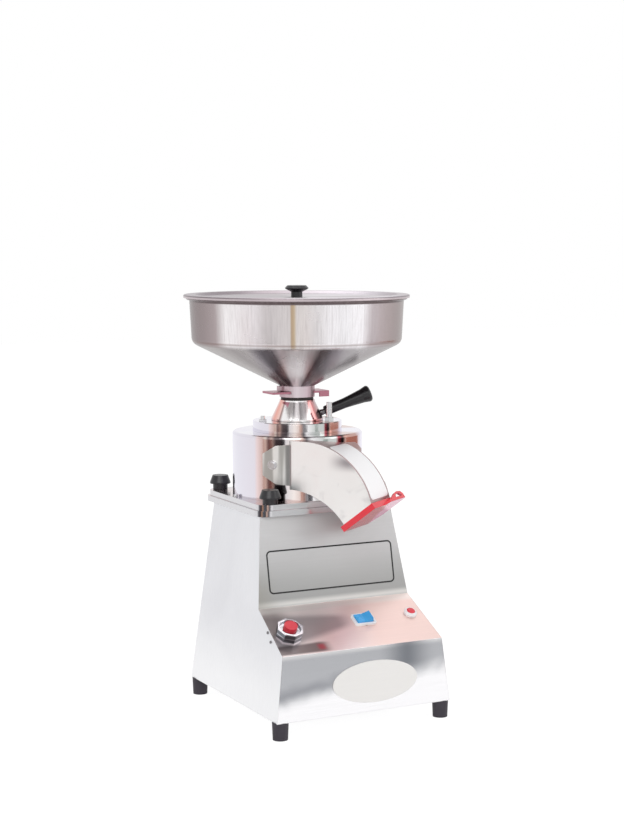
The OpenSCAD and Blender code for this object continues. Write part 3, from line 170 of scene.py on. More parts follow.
UNDER_REFLECTION_BANDS = [
    (-1.0, srgb(110, 100, 100)),
    (-0.80, srgb(146, 138, 136)),
    (-0.60, srgb(126, 117, 117)),
    (-0.46, srgb(160, 153, 153)),
    (-0.34, srgb(79, 71, 74)),
    (-0.22, srgb(96, 88, 91)),
    (-0.14, srgb(226, 220, 222)),
    (0.10, srgb(238, 234, 236)),
    (0.20, srgb(206, 200, 202)),
    (0.27, srgb(74, 67, 71)),
    (0.42, srgb(144, 138, 141)),
    (0.60, srgb(174, 169, 172)),
    (0.80, srgb(136, 127, 129)),
    (1.0, srgb(110, 100, 100)),
]
COLLAR_REFLECTION_BANDS = [
    (-1.0, srgb(176, 150, 156)),
    (-0.5, srgb(206, 186, 192)),
    (0.1, srgb(222, 210, 216)),
    (0.6, srgb(200, 180, 188)),
    (1.0, srgb(168, 142, 148)),
]
LID_REFLECTION_BANDS = [
    (-1.0, srgb(138, 128, 134)),
    (-0.3, srgb(158, 148, 152)),
    (0.2, srgb(190, 183, 188)),
    (0.8, srgb(206, 200, 206)),
    (1.0, srgb(160, 150, 155)),
]

# Painted reflection stripes around a plate's corners, from -1 where the edge faces sideways to 0 where it
# faces the front
CORNER_REFLECTION_BANDS = [
    (-1.0, srgb(214, 213, 216)),
    (-0.93, srgb(206, 205, 208)),
    (-0.88, srgb(84, 82, 88)),
    (-0.78, srgb(58, 58, 62)),
    (-0.70, srgb(196, 158, 136)),
    (-0.62, srgb(92, 98, 106)),
    (-0.50, srgb(44, 44, 48)),
    (-0.40, srgb(188, 160, 148)),
    (-0.28, srgb(96, 94, 98)),
    (-0.16, srgb(206, 205, 208)),
    (1.0, srgb(206, 205, 208)),
]

# Cards that the drum mirrors, from -1 to 1 as a round wall shows them from left to right
CARDS = [
    (-0.50, -0.42, srgb(222, 196, 190)),
    (-0.42, -0.36, srgb(150, 112, 108)),
    (-0.36, -0.31, srgb(206, 190, 182)),
    (-0.31, -0.22, srgb(112, 96, 98)),
    (-0.22, -0.17, srgb(64, 58, 62)),
    (0.06, 0.13, srgb(222, 196, 188)),
    (0.17, 0.24, srgb(92, 90, 94)),
    (0.40, 0.47, srgb(186, 192, 188)),
    (0.62, 0.66, srgb(150, 30, 48)),
    (0.66, 0.71, srgb(36, 32, 34)),
    (0.74, 0.92, srgb(206, 160, 146)),
]


def feed(tree, value, socket):
    """Links a socket to an input, or writes a plain value there."""
    if isinstance(value, bpy.types.NodeSocket):
        tree.links.new(value, socket)
    else:
        socket.default_value = value


def add_node(tree, kind, inputs=(), **settings):
    """A node of that kind, with its settings and its inputs by name or number."""
    node = tree.nodes.new(kind)
    for key, value in settings.items():
        setattr(node, key, value)
    for key, value in dict(inputs).items():
        feed(tree, value, node.inputs[key])
    return node


class Paint:
    """A material with short calls for the nodes used here."""

    def __init__(self, name, colour, rough, metal=0.0):
        self.material = bpy.data.materials.new(name)
        self.material.use_nodes = True
        self.tree = self.material.node_tree
        self.shader = self.tree.nodes["Principled BSDF"]
        self.normal = None
        self.colour(colour)
        self.rough(rough)
        self.metallic(metal)
        self.set("IOR", IOR)

    def set(self, name, value):
        feed(self.tree, value, self.shader.inputs[name])

    def colour(self, value):
        self.set("Base Color", value)

    def rough(self, value):
        self.set("Roughness", value)

    def metallic(self, value):
        self.set("Metallic", value)

    def add(self, kind, inputs=(), **settings):
        return add_node(self.tree, kind, inputs, **settings)

    def math(self, operation, a, b=None):
        inputs = {0: a} if b is None else {0: a, 1: b}
        return self.add("ShaderNodeMath", inputs, operation=operation).outputs[0]

    def both(self, *masks):
        """Where every mask is one."""
        result = masks[0]
        for mask in masks[1:]:
            result = self.math("MULTIPLY", result, mask)
        return result

    def step(self, value, low, high):
        """0 below low, 1 above high, smooth between. Falls instead where low is over high."""
        inputs = {"Value": value, "From Min": low, "From Max": high}
        return self.add("ShaderNodeMapRange", inputs, interpolation_type="SMOOTHSTEP").outputs[0]

    def band(self, value, low, high, soft):
        """1 between low and high, with soft edges."""
        rising = self.step(value, low - soft, low + soft)
        falling = self.step(value, high + soft, high - soft)
        return self.both(rising, falling)

    def mix(self, share, a, b):
        """Colour a, and b where share is one."""
        return self.add("ShaderNodeMix", {0: share, 6: a, 7: b}, data_type="RGBA").outputs[2]

    def over(self, tone, mask, colour, amount):
        """The tone, with that amount of a colour over it where the mask is one."""
        return self.mix(self.math("MULTIPLY", mask, amount), tone, colour)

    def blend(self, share, a, b):
        """Number a, and b where share is one."""
        return self.add("ShaderNodeMix", {0: share, 2: a, 3: b}, data_type="FLOAT").outputs[0]

    def raised(self, base, noise, amount):
        """A number raised by up to that amount where the noise is high."""
        return self.math("ADD", base, self.math("MULTIPLY", noise, amount))

    def sway(self, noise, amount):
        """The noise as a shift to both sides, that amount wide in all."""
        return self.math("MULTIPLY", self.math("SUBTRACT", noise, 0.5), amount)

    def place(self):
        """The point's place on the object."""
        return self.add("ShaderNodeTexCoord").outputs["Object"]

    def axes(self):
        return self.add("ShaderNodeSeparateXYZ", {0: self.place()}).outputs[0:3]

    def facing(self):
        """X, Y and Z of the direction that the surface faces."""
        normal = self.add("ShaderNodeNewGeometry").outputs["Normal"]
        return self.add("ShaderNodeSeparateXYZ", {0: normal}).outputs[0:3]

    def from_axis(self):
        """X and Y from the milling axis, and Z."""
        x, y, z = self.axes()
        return x, self.math("SUBTRACT", y, AXIS_Y), z

    def radius(self, x, y):
        squares = self.math("ADD", self.math("MULTIPLY", x, x), self.math("MULTIPLY", y, y))
        return self.math("SQRT", squares)

    def around(self, stops, lean=0.0):
        """Bands of painted reflection around the milling axis, mirrored at the back. lean slants them as they
        rise.
        """
        level = 0.3
        smallest = 0.001
        x, y, z = self.from_axis()
        right = self.math("SUBTRACT", self.math("MULTIPLY", x, math.cos(CAMERA_TURN)),
                          self.math("MULTIPLY", y, math.sin(CAMERA_TURN)))
        place = self.math("DIVIDE", right, self.math("MAXIMUM", self.radius(x, y), smallest))
        shift = self.math("MULTIPLY", self.math("SUBTRACT", z, level), lean)
        return self.ramp(self.math("ADD", place, shift), stops)

    def ramp(self, value, stops):
        """Colours along a value, with stops from -1 to 1."""
        share = self.math("MULTIPLY", self.math("ADD", value, 1.0), 0.5)
        ramp = self.add("ShaderNodeValToRGB", {0: share})
        marks = ramp.color_ramp.elements
        for k, (spot, colour) in enumerate(stops):
            mark = marks[k] if k < 2 else marks.new(1)
            mark.position = (spot + 1) / 2
            mark.color = colour
        return ramp.outputs[0]

    def noise(self, scale, stretch=(1, 1, 1), **settings):
        """Cloudy noise on the object, finer along the axes with the larger stretch."""
        place = self.add("ShaderNodeVectorMath", {0: self.place(), 1: stretch}, operation="MULTIPLY")
        return self.noise_at(place.outputs[0], scale=scale, **settings)

    def noise_at(self, vector, scale=1.0, detail=3, rough=0.55, bend=0.0):
        inputs = {"Vector": vector, "Scale": scale, "Detail": detail, "Roughness": rough, "Distortion": bend}
        return self.add("ShaderNodeTexNoise", inputs).outputs["Fac"]

    def soften(self, radius):
        """Rounds the edges in the shading."""
        self.normal = self.add("ShaderNodeBevel", {"Radius": radius}, samples=4).outputs[0]
        self.set("Normal", self.normal)
        return self

    def bump(self, height, strength, depth):
        inputs = {"Height": height, "Strength": strength, "Distance": depth}
        if self.normal is not None:
            inputs["Normal"] = self.normal
        self.normal = self.add("ShaderNodeBump", inputs).outputs[0]
        self.set("Normal", self.normal)
        return self


def brushed(paint, stretch, base):
    """Fine parallel grain along the axis with the smallest stretch, and slow smudges."""
    worn = 0.08
    grain = paint.noise(GRAIN_SCALE, stretch, detail=4)
    smudge = paint.noise(14)
    rough = paint.raised(base - worn, smudge, worn * 2)
    paint.rough(paint.math("ADD", rough, paint.sway(grain, 0.12)))
    paint.bump(grain, 0.35, GRAIN_DEPTH)
    return grain


def tinted(paint, colour, grain, amount):
    """The colour, a little darker where the grain is low."""
    dark = tuple(c * (1 - amount) for c in colour[:3]) + (1,)
    paint.colour(paint.mix(grain, dark, colour))


def metal(name, colour, rough, stretch=ALONG_Z, amount=0.10):
    paint = Paint(name, colour, rough, metal=1.0).soften(0.0004)
    tinted(paint, colour, brushed(paint, stretch, rough), amount)
    return paint


def turned(name, colour, rough, stops, lean=0.0):
    """Lathe-turned metal in bands of painted reflection, with rings around the milling axis and faint smudges.
    """
    paint = Paint(name, colour, rough, metal=1.0).soften(0.0004)
    x, y, z = paint.from_axis()
    outward = paint.math("MULTIPLY", paint.radius(x, y), FINE_SCALE)
    upward = paint.math("MULTIPLY", z, FINE_SCALE)
    path = paint.add("ShaderNodeCombineXYZ", {0: outward, 1: 0.0, 2: upward}).outputs[0]
    rings = paint.noise_at(path, detail=2, rough=0.5)
    paint.rough(paint.raised(rough - 0.03, paint.noise(18, detail=4, bend=0.5), 0.07))
    paint.colour(paint.over(paint.around(stops, lean), rings, srgb(150, 146, 148), 0.15))
    return paint.bump(rings, 0.15, FINE_DEPTH)


def plastic(name, colour, rough, depth=SHEET_DEPTH, soft=0.0005):
    paint = Paint(name, colour, rough).soften(soft)
    wear = paint.noise(60, detail=4)
    paint.rough(paint.raised(rough - 0.06, wear, 0.14))
    lighter = tuple(min(1, c * 1.25 + 0.004) for c in colour[:3]) + (1,)
    paint.colour(paint.mix(paint.step(wear, 0.45, 0.85), colour, lighter))
    return paint.bump(paint.noise(FINE_SCALE, detail=2), 0.25, depth)


def rubber(name, colour):
    return plastic(name, colour, 0.62, depth=0.00008, soft=0.0006)


def stone(name):
    paint = Paint(name, srgb(92, 90, 92), 0.9)
    grit = paint.noise(420, detail=6)
    paint.colour(paint.mix(paint.step(grit, 0.4, 0.65), srgb(62, 60, 62), srgb(128, 124, 122)))
    return paint.bump(grit, 0.8, 0.0004)


def cast(name, colour):
    paint = Paint(name, colour, 0.55, metal=0.4).soften(0.0008)
    lumps = paint.noise(500, detail=5)
    tinted(paint, colour, lumps, 0.2)
    return paint.bump(lumps, 0.5, 0.0002)


def paper(name):
    paint = Paint(name, srgb(250, 249, 250), 0.45, metal=0.5)
    fibre = paint.noise(700, detail=4)
    paint.colour(paint.mix(fibre, srgb(246, 245, 247), srgb(253, 252, 253)))
    return paint.bump(fibre, 0.15, GRAIN_DEPTH)


def side_tone(paint, z, cloud):
    """Satin sheet, whiter near the floor as a painted reflection of the floor."""
    tone = paint.mix(cloud, srgb(220, 220, 224), srgb(241, 241, 244))
    return paint.over(tone, paint.step(z, 0.11, 0.03), WHITE, 0.5)


def upper_reflection_tone(paint, x, z):
    """Grey sheet in painted reflection that pales upward, with streaks, a painted highlight line at the fold
    and a darker left corner.
    """
    streak = paint.noise(26, (0.25, 1, 1), detail=4, bend=0.4)
    tone = paint.mix(paint.step(z, 0.125, 0.2), srgb(164, 164, 163), srgb(216, 215, 216))
    tone = paint.over(tone, streak, srgb(168, 169, 168), 0.5)
    # Painted highlight along the fold.
    tone = paint.mix(paint.band(z, 0.121, 0.126, 0.003), tone, srgb(214, 213, 210))
    # Painted darker reflection at the left corner.
    corner = paint.both(paint.step(x, -0.06, -0.088), paint.step(z, 0.17, 0.13))
    return paint.over(tone, corner, srgb(158, 154, 144), 0.5)


def panel_reflection_tone(paint, x, y, cloud):
    """Sheet in painted reflections: a peach tone with a dark wedge, a dark corner and a red spot at its left,
    a dark strip of painted shadow at its left, and a painted highlight along its top edge.
    """
    back = paint.math("SUBTRACT", y, PANEL_FOOT[0])
    # Painted peach reflection, paler toward the left.
    tone = paint.mix(paint.step(x, -0.02, 0.03), srgb(250, 240, 239), PEACH_REFLECTION)
    tone = paint.over(tone, cloud, srgb(252, 232, 227), 0.4)

    # Painted dark reflection in a wedge.
    upper_edge = paint.math("ADD", paint.math("MULTIPLY", x, -0.10), 0.046)
    dark_reflection_wedge = paint.both(
        paint.step(paint.math("SUBTRACT", back, upper_edge), 0.004, -0.006),
        paint.step(paint.math("SUBTRACT", back, paint.math("MULTIPLY", x, 0.25)), 0.026, 0.036),
        paint.step(x, 0.012, -0.014),
    )
    tone = paint.over(tone, dark_reflection_wedge, srgb(136, 128, 134), 0.65)
    # Painted dark reflection at the left corner.
    corner = paint.both(paint.step(x, -0.052, -0.078), paint.step(back, 0.020, 0.030))
    tone = paint.over(tone, corner, srgb(104, 92, 90), 0.6)

    # Painted shadow in a strip along the lower edge at the left.
    strip_edge = paint.math("ADD", 0.014, paint.sway(cloud, 0.01))
    shadow_strip = paint.both(
        paint.step(paint.math("SUBTRACT", back, strip_edge), 0.002, -0.002),
        paint.step(x, -0.030, -0.046),
        paint.step(back, 0.000, 0.003),
    )
    tone = paint.over(tone, shadow_strip, srgb(82, 66, 68), 0.8)
    # Painted red reflection spot.
    spot = paint.both(paint.band(x, -0.048, -0.040, 0.003), paint.band(back, 0.004, 0.011, 0.002))
    tone = paint.over(tone, spot, srgb(196, 64, 82), 0.7)
    # Painted highlight along the top edge.
    return paint.over(tone, paint.step(back, 0.054, 0.060), srgb(240, 236, 232), 0.5)


def nose_reflection_tone(paint, x, z):
    """Painted reflections: white below a wavy line and grey above it, with a dark streak, a painted highlight
    on the top edge and a dark patch.
    """
    wave = paint.math("ADD", z, paint.sway(paint.noise(10, bend=0.8), 0.045))
    wave = paint.math("ADD", wave, paint.math("MULTIPLY", x, -0.10))
    tone = paint.mix(paint.step(wave, 0.040, 0.060), srgb(250, 249, 251), srgb(180, 181, 185))
    # Painted dark reflection streak along the wavy line.
    streak = paint.both(paint.band(wave, 0.052, 0.062, 0.007), paint.step(x, 0.01, -0.06))
    tone = paint.over(tone, streak, srgb(128, 130, 137), 0.6)
    # Painted highlight along the top edge.
    tone = paint.over(tone, paint.step(z, 0.079, 0.086), srgb(236, 234, 234), 0.7)
    # Painted dark reflection patch.
    dark_reflection_patch = paint.both(paint.band(x, 0.034, 0.066, 0.020), paint.step(z, 0.050, 0.066))
    return paint.over(tone, dark_reflection_patch, srgb(98, 102, 110), 0.8)


def cabinet_paint():
    """Sheet steel with painted reflections: satin sides, a grey upper front, a peach-toned panel and a bright
    lower front.
    """
    paint = Paint("cabinet_sheet", STEEL, 0.3, metal=1.0).soften(0.0012)
    x, y, z = paint.axes()
    nx, ny, nz = paint.facing()
    side = paint.step(paint.math("ABSOLUTE", nx), 0.75, 0.9)
    front = paint.step(ny, -0.8, -0.9)
    panel = paint.both(paint.step(nz, 0.7, 0.8), paint.step(y, PANEL_BACK, PANEL_BACK - 0.005))
    upper = paint.both(front, paint.step(z, NOSE_TOP, NOSE_TOP + 0.01))
    nose = paint.both(front, paint.step(z, NOSE_TOP, NOSE_TOP - 0.005))
    cloud = paint.noise(9, bend=0.6)
    grain = paint.blend(side, paint.noise(GRAIN_SCALE, ALONG_X, detail=4),
                        paint.noise(GRAIN_SCALE, ALONG_Z, detail=4))

    tone = paint.mix(upper, side_tone(paint, z, cloud), upper_reflection_tone(paint, x, z))
    tone = paint.mix(panel, tone, panel_reflection_tone(paint, x, y, cloud))
    tone = paint.mix(nose, tone, nose_reflection_tone(paint, x, z))
    paint.colour(paint.over(tone, grain, srgb(120, 120, 122), 0.12))

    rough = paint.blend(side, 0.24, 0.42)
    rough = paint.blend(upper, rough, 0.5)
    rough = paint.blend(panel, rough, 0.34)
    paint.rough(paint.math("ADD", rough, paint.sway(cloud, 0.10)))
    paint.metallic(paint.blend(panel, paint.blend(upper, 1.0, 0.7), 0.75))
    return paint.bump(grain, 0.3, SHEET_DEPTH)


def hopper_paint(name, stops, rough, under=None, rim=None):
    """Spun steel with grain up the wall, in bands of painted reflection. It can have other bands of painted
    reflection under the wall, with a painted shadow line at the crease, and painted shade on the rim.
    """
    paint = Paint(name, WARM_STEEL, rough, metal=1.0).soften(0.0006)
    x, y, z = paint.from_axis()
    sideways = paint.math("MULTIPLY", paint.math("ARCTAN2", y, x), 60)
    upward = paint.math("MULTIPLY", z, 40)
    path = paint.add("ShaderNodeCombineXYZ", {0: sideways, 1: 0.0, 2: upward}).outputs[0]
    grain = paint.noise_at(path, detail=4, rough=0.5)
    tone = paint.around(stops)
    if under:
        below = paint.step(z, WALL_FOOT, WALL_FOOT - 0.006)
        tone = paint.mix(below, tone, paint.around(under))
        paint.metallic(paint.blend(below, 1.0, 0.55))
        # Painted shadow along the crease where the wall meets the funnel.
        crease_shadow = paint.band(z, WALL_FOOT - 0.001, WALL_FOOT + 0.001, 0.001)
        tone = paint.over(tone, crease_shadow, srgb(112, 84, 76), 0.5)
    if rim:
        # Painted shade on the rolled rim.
        tone = paint.mix(paint.step(z, rim - 0.0022, rim - 0.0010), tone, srgb(100, 88, 90))
    paint.colour(paint.over(tone, paint.step(grain, 0.35, 0.8), srgb(150, 140, 140), 0.25))
    paint.rough(paint.raised(rough - 0.05, paint.noise(16), 0.1))
    return paint.bump(grain, 0.2, GRAIN_DEPTH)


def chute_paint():
    """Pale satin sheet with painted reflection stripes on its ear and painted shade where the ear ends, a grey
    mark and faint patches, and painted shade in rosy grey where it faces right.
    """
    paint = Paint("chute_sheet", ALUMINIUM, 0.32, metal=1.0).soften(0.0006)
    x, _, z = paint.axes()
    nx = paint.facing()[0]
    cloud = paint.noise(22, bend=0.8)
    patch = paint.noise(31, bend=0.5)
    tone = paint.mix(paint.step(z, 0.24, 0.285), srgb(248, 249, 248), srgb(246, 244, 243))
    tone = paint.over(tone, paint.step(cloud, 0.5, 0.75), srgb(238, 226, 224), 0.25)
    tone = paint.over(tone, paint.step(patch, 0.56, 0.72), srgb(190, 190, 192), 0.45)
    grey_mark = paint.both(paint.band(x, GREY_MARK[0] - 0.010, GREY_MARK[0] + 0.010, 0.008),
                       paint.band(z, GREY_MARK[1] - 0.006, GREY_MARK[1] + 0.006, 0.006))
    tone = paint.over(tone, grey_mark, srgb(132, 124, 130), 0.8)

    # Painted reflection stripes on the ear, and painted shade where the ear meets the chute's body.
    ear_reflection_stripe = paint.step(paint.noise(1.0, (170, 1, 6), detail=1, rough=0.5), 0.4, 0.6)
    ear_reflection_and_shade = paint.mix(ear_reflection_stripe, srgb(150, 148, 142), srgb(232, 230, 226))
    ear_reflection_and_shade = paint.mix(paint.step(x, EAR_END - 0.007, EAR_END - 0.003), ear_reflection_and_shade, srgb(66, 62, 60))
    ear = paint.step(x, EAR_END + 0.0015, EAR_END - 0.0015)
    tone = paint.over(tone, ear, ear_reflection_and_shade, 0.8)
    # Painted shade, rosy grey, on the side that faces right.
    paint.colour(paint.over(tone, paint.step(nx, -0.5, 0.0), srgb(160, 132, 132), 0.85))
    paint.rough(paint.raised(0.26, cloud, 0.14))
    return paint.bump(paint.noise(GRAIN_SCALE, (1, 1, 0.05), detail=4), 0.2, SHEET_DEPTH)


def lid_paint():
    """Spun sheet in soft bands of painted reflection, with a skirt in painted shade above a line and a painted
    highlight below it.
    """
    paint = Paint("lid_steel", STEEL, 0.3, metal=1.0).soften(0.0006)
    z = paint.axes()[2]
    nz = paint.facing()[2]
    # Painted shade above the line on the skirt, and a painted highlight below it.
    line = paint.step(z, LID_LINE - 0.0003, LID_LINE + 0.0003)
    skirt_shade_and_highlight = paint.mix(line, srgb(196, 184, 187), srgb(84, 72, 76))
    edge = paint.step(paint.math("ABSOLUTE", nz), 0.75, 0.35)
    tone = paint.mix(edge, paint.around(LID_REFLECTION_BANDS), skirt_shade_and_highlight)
    smudge = paint.noise(14)
    paint.colour(paint.over(tone, smudge, srgb(176, 168, 176), 0.3))
    paint.rough(paint.raised(0.24, smudge, 0.12))
    return paint.bump(paint.noise(700), 0.15, FINE_DEPTH)


def plate_paint():
    """Bright rolled plate: painted reflection stripes around its rounded corners and rosy patches on top."""
    paint = Paint("plate_aluminium", STEEL, 0.18, metal=1.0).soften(0.0004)
    grain = brushed(paint, ALONG_X, 0.18)
    nx, _, nz = paint.facing()
    patch = paint.step(paint.noise(26, bend=0.8), 0.45, 0.7)
    top = paint.over(srgb(206, 202, 206), patch, srgb(232, 188, 174), 0.5)
    edge = paint.ramp(paint.math("MULTIPLY", paint.math("ABSOLUTE", nx), -1), CORNER_REFLECTION_BANDS)
    tone = paint.mix(paint.step(nz, 0.6, 0.9), edge, top)
    paint.colour(paint.over(tone, grain, srgb(150, 149, 152), 0.12))
    return paint


def chrome_paint():
    """Chrome with painted reflections: bright where it faces away from the panel, with dark facets and a line
    around them.
    """
    paint = Paint("nut_chrome", WHITE, 0.16, metal=1.0).soften(0.0007)
    _, y, z = paint.axes()
    _, ny, nz = paint.facing()
    run, rise = FRONT_FOOT[0] - PANEL_FOOT[0], FRONT_FOOT[1] - PANEL_FOOT[1]
    length = math.hypot(run, rise)

    def along_normal(across, up):
        return paint.math("SUBTRACT", paint.math("MULTIPLY", up, run / length),
                          paint.math("MULTIPLY", across, rise / length))

    height = along_normal(paint.math("SUBTRACT", y, PANEL_FOOT[0]),
                          paint.math("SUBTRACT", z, PANEL_FOOT[1]))
    # Painted reflections on the facets, by height above the panel.
    facet_reflection = paint.mix(paint.band(height, 0.0050, 0.0062, 0.0006), srgb(112, 114, 120), srgb(176, 176, 184))
    facet_reflection = paint.mix(paint.step(height, 0.0016, 0.0008), facet_reflection, srgb(226, 224, 230))
    facet_reflection = paint.mix(paint.step(height, 0.0100, 0.0108), facet_reflection, srgb(240, 236, 242))
    paint.colour(paint.mix(paint.step(along_normal(ny, nz), 0.6, 0.9), facet_reflection, srgb(216, 212, 218)))
    return paint


def cap_paint():
    """Glossy red plastic, with painted shade underneath, where one half has a painted pink reflection."""
    paint = Paint("cap_red", RED, 0.18).soften(0.0008)
    x = paint.axes()[0]
    nz = paint.facing()[2]
    wavy_x = paint.math("ADD", x, paint.sway(paint.noise(40, detail=2), 0.01))
    pink_reflection = paint.step(wavy_x, CAP_REFLECTION_X - 0.001, CAP_REFLECTION_X + 0.001)
    # Painted shade under the cap, with a painted pink reflection on one half.
    below = paint.mix(pink_reflection, SHADE_RED, REFLECTION_PINK)
    paint.colour(paint.mix(paint.step(nz, -0.5, -0.7), RED, below))
    return paint.bump(paint.noise(FINE_SCALE, detail=2), 0.25, FINE_DEPTH)


def dress(paint, *nodes):
    """Gives CAD nodes a material, in every slot."""
    for node in nodes:
        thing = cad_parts[node]
        thing.data.materials.clear()
        thing.data.materials.append(paint.material)


KNOBS = [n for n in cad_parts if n.startswith("clamp_knob")]

dress(cabinet_paint(), "cabinet_shell")
dress(metal("bottom_sheet", STEEL, 0.4), "bottom_plate")
dress(rubber("foot_rubber", srgb(52, 47, 56)), "rubber_feet")
dress(rubber("seal_rubber", srgb(42, 32, 32)), "throat_seal")
dress(metal("plated_steel", srgb(216, 216, 218), 0.22), "foot_screws", "drum_screws", "flange_screws",
      "stop_stud", "chute_screws", "clamp_studs", "motor_bolts", "runner_nut")
dress(metal("dark_rivets", srgb(128, 126, 128), 0.4), "side_screws")
dress(plastic("gland_plastic", BLACK, 0.5), "cable_gland")
dress(metal("oval_plate", srgb(231, 229, 227), 0.45, ALONG_X, amount=0.05), "front_plate")
dress(plate_paint(), "mounting_plate", "chamber_plate")
dress(turned("drum_polish", MAUVE_WHITE, 0.09, DRUM_REFLECTION_BANDS), "chamber_drum", "adjuster_flange")
dress(turned("cone_polish", ALUMINIUM, 0.12, CONE_REFLECTION_BANDS, lean=1.2), "adjusting_cone")
dress(chute_paint(), "discharge_chute")
dress(paper("label_paper"), "chute_label")
dress(cap_paint(), "mouth_cap")
dress(hopper_paint("collar_steel", COLLAR_REFLECTION_BANDS, 0.3), "hopper_collar")
dress(hopper_paint("hopper_steel", HOPPER_REFLECTION_BANDS, 0.26, under=UNDER_REFLECTION_BANDS, rim=RIM_FOOT), "hopper_bowl")
dress(lid_paint(), "hopper_lid")
dress(metal("gate_steel", DUSTY_ROSE, 0.3, ALONG_X), "feed_gate")
dress(plastic("black_plastic", BLACK, 0.3), "lid_knob", "lever_grip", *KNOBS)
dress(metal("bright_screw", srgb(226, 226, 228), 0.15), "lid_screw")
dress(metal("lever_steel", srgb(120, 118, 120), 0.3), "lever_rod")
dress(cast("motor_cast", srgb(96, 100, 108)), "motor_housing", "motor_cap")
dress(cast("stator_iron", srgb(150, 104, 70)), "stator_core")
dress(metal("ground_steel", srgb(205, 205, 207), 0.15), "upper_bearing", "lower_bearing", "motor_shaft")
dress(cast("cast_aluminium", srgb(186, 187, 190)), "rotor_core", "runner_plate", "stone_carrier")
dress(plastic("fan_plastic", srgb(60, 60, 64), 0.5), "cooling_fan")
dress(stone("emery"), "runner_stone", "upper_stone")
dress(plastic("capacitor_case", srgb(226, 226, 222), 0.45), "run_capacitor")
dress(metal("clip_steel", srgb(205, 205, 207), 0.3), "capacitor_clip")
dress(chrome_paint(), "reset_housing")
dress(plastic("button_red", BUTTON_RED, 0.3), "reset_button", "lamp_lens")
dress(plastic("white_plastic", srgb(244, 243, 245), 0.3), "switch_frame", "lamp_ring")
dress(plastic("blue_plastic", LIGHT_BLUE, 0.25), "switch_rocker")


def mesh_piece(name, points, faces, material):
    mesh = bpy.data.meshes.new(name)
    mesh.from_pydata(points, [], faces)
    mesh.update()
    piece = bpy.data.objects.new(name, mesh)
    scene.collection.objects.link(piece)
    piece.data.materials.append(material)
    return piece


def on_front(x, up, out):
    """A point on the upper front: up along the sheet from the fold, out away from it."""
    rise = Vector((0, FRONT_TOP[0] - FRONT_FOOT[0], FRONT_TOP[1] - FRONT_FOOT[1])).normalized()
    away = Vector((0, -rise.z, rise.y))
    return Vector((x, FRONT_FOOT[0], FRONT_FOOT[1])) + rise * up + away * out


def rounded(half_w, half_h, radius):
    """Corner points of a rounded rectangle, counterclockwise."""
    steps = 10
    points = []
    for corner, (sx, sy) in enumerate(((1, 1), (-1, 1), (-1, -1), (1, -1))):
        for k in range(steps + 1):
            turn = math.radians(90 * corner + 90 * k / steps)
            points.append((sx * (half_w - radius) + radius * math.cos(turn),
                           sy * (half_h - radius) + radius * math.sin(turn)))
    return points


def front_outline():
    """The thin black frame printed on the upper front, left empty."""
    half_w = 0.0738
    half_h = 0.0225
    corner_r = 0.005
    line = 0.0016
    middle_up = 0.036
    ink_foot = 0.00002
    ink_top = 0.00012
    outer = rounded(half_w, half_h, corner_r)
    inner = rounded(half_w - line, half_h - line, corner_r - line)
    points = []
    for out in (ink_foot, ink_top):
        for loop in (outer, inner):
            points += [on_front(x, middle_up + u, out) for x, u in loop]
    n = len(outer)
    faces = []
    for k in range(n):
        m = (k + 1) % n
        a, b, c, d = 0, n, 2 * n, 3 * n
        faces += [(c + k, c + m, d + m, d + k), (a + k, b + k, b + m, a + m),
                  (a + k, a + m, c + m, c + k), (b + k, d + k, d + m, b + m)]
    piece = mesh_piece("front_outline", points, faces, plastic("outline_ink", SOOT, 0.5).material)
    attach(piece, "housing")


def glow(name, colour):
    """A plain shining material for the studio's cards."""
    material = bpy.data.materials.new(name)
    material.use_nodes = True
    tree = material.node_tree
    tree.nodes.clear()
    light = add_node(tree, "ShaderNodeEmission", {"Color": colour, "Strength": 1.0})
    add_node(tree, "ShaderNodeOutputMaterial", {"Surface": light.outputs[0]})
    return material


def card(name, start, end, colour):
    """A low curved studio card around the milling axis, which only reflections see."""
    turns = [2 * math.asin(place) for place in (start, end)]
    toward = Vector((-math.sin(CAMERA_TURN), -math.cos(CAMERA_TURN), 0))
    right = Vector((math.cos(CAMERA_TURN), -math.sin(CAMERA_TURN), 0))
    steps = math.ceil((turns[1] - turns[0]) / CARD_STEP)
    points = []
    for k in range(steps + 1):
        turn = turns[0] + (turns[1] - turns[0]) * k / steps
        foot = (toward * math.cos(turn) + right * math.sin(turn)) * CARD_RADIUS + Vector((0, AXIS_Y, 0))
        points += [foot, foot + Vector((0, 0, CARD_TOP))]
    faces = [(2 * k, 2 * k + 2, 2 * k + 3, 2 * k + 1) for k in range(steps)]
    piece = mesh_piece(name, points, faces, glow(name, colour))
    piece.visible_camera = False
    piece.visible_diffuse = False
    piece.visible_shadow = False


def seen_directly(tree):
    """One for what the camera, reflections and glass show, and zero for what lights the mill."""
    path = add_node(tree, "ShaderNodeLightPath").outputs
    seen = path["Is Camera Ray"]
    for ray in ("Is Glossy Ray", "Is Transmission Ray"):
        seen = add_node(tree, "ShaderNodeMath", {0: seen, 1: path[ray]}, operation="MAXIMUM").outputs[0]
    return seen


def add_world():
    """White where it is seen directly, and a softer fill for everything else."""
    world = bpy.data.worlds.new("studio")
    world.use_nodes = True
    tree = world.node_tree
    tree.nodes.clear()
    fill = add_node(tree, "ShaderNodeBackground", {"Color": WHITE, "Strength": FILL_STRENGTH}).outputs[0]
    white = add_node(tree, "ShaderNodeBackground", {"Color": WHITE, "Strength": 1.0}).outputs[0]
    mix = add_node(tree, "ShaderNodeMixShader", {0: seen_directly(tree), 1: fill, 2: white})
    add_node(tree, "ShaderNodeOutputWorld", {"Surface": mix.outputs[0]})
    scene.world = world


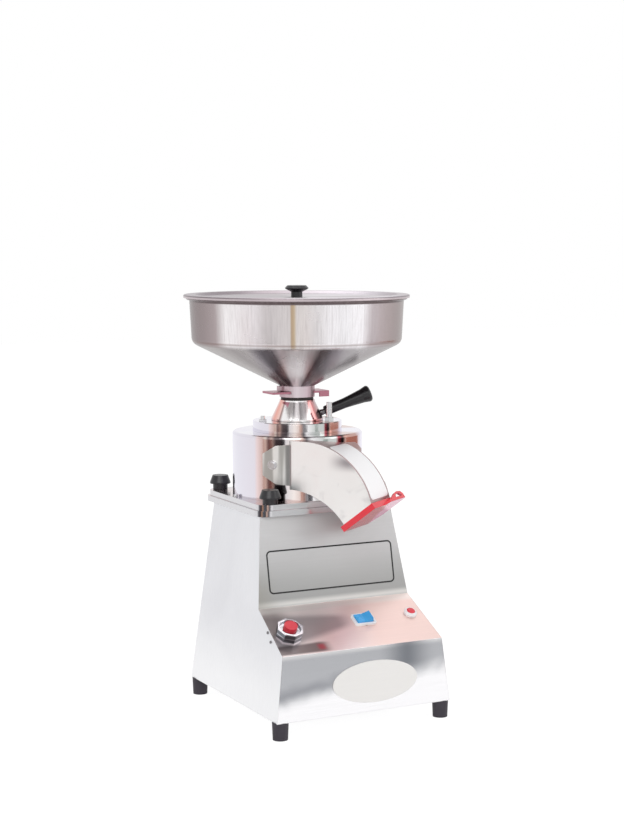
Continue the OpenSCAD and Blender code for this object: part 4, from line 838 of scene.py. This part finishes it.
def add_floor():
    """A plain pale floor that keeps a soft shadow."""
    corners = ((-1, -1), (1, -1), (1, 1), (-1, 1))
    points = [(x * FLOOR_HALF, y * FLOOR_HALF, 0) for x, y in corners]
    paint = Paint("floor", srgb(244, 244, 244), 0.9)
    paint.set("Specular IOR Level", 0.0)
    light = paint.add("ShaderNodeEmission", {"Color": WHITE, "Strength": FLOOR_GLOW}).outputs[0]
    share = paint.math("MULTIPLY", seen_directly(paint.tree), FLOOR_SHARE)
    mix = paint.add("ShaderNodeMixShader", {0: share, 1: paint.shader.outputs[0], 2: light})
    feed(paint.tree, mix.outputs[0], paint.tree.nodes["Material Output"].inputs["Surface"])
    mesh_piece("floor", points, [(0, 1, 2, 3)], paint.material)


def add_lamp(name, place, power):
    data = bpy.data.lights.new(name, "AREA")
    data.energy = power
    data.size = LAMP_SIZE
    lamp = bpy.data.objects.new(name, data)
    lamp.location = place
    lamp.rotation_euler = (LAMP_AIM - place).to_track_quat("-Z", "Y").to_euler()
    scene.collection.objects.link(lamp)


def add_camera():
    flat = math.cos(CAMERA_RISE)
    look = Vector((math.sin(CAMERA_TURN) * flat, math.cos(CAMERA_TURN) * flat, -math.sin(CAMERA_RISE)))
    data = bpy.data.cameras.new("camera")
    data.sensor_fit = "VERTICAL"
    data.sensor_height = SENSOR
    data.lens = FOCAL_PX * SENSOR / IMAGE_H
    data.shift_x = (IMAGE_W / 2 - CENTRE_PX[0]) / IMAGE_H
    data.shift_y = (CENTRE_PX[1] - IMAGE_H / 2) / IMAGE_H
    camera = bpy.data.objects.new("camera", data)
    camera.location = CAMERA_TARGET - look * CAMERA_FAR
    camera.rotation_euler = look.to_track_quat("-Z", "Y").to_euler()
    scene.collection.objects.link(camera)
    scene.camera = camera


front_outline()
for number, (start, end, colour) in enumerate(CARDS):
    card(f"card_{number}", start, end, colour)
add_world()
add_floor()
for lamp_name, lamp_place, lamp_power in LAMPS:
    add_lamp(lamp_name, lamp_place, lamp_power)
add_camera()
scene.view_settings.view_transform = "Standard"
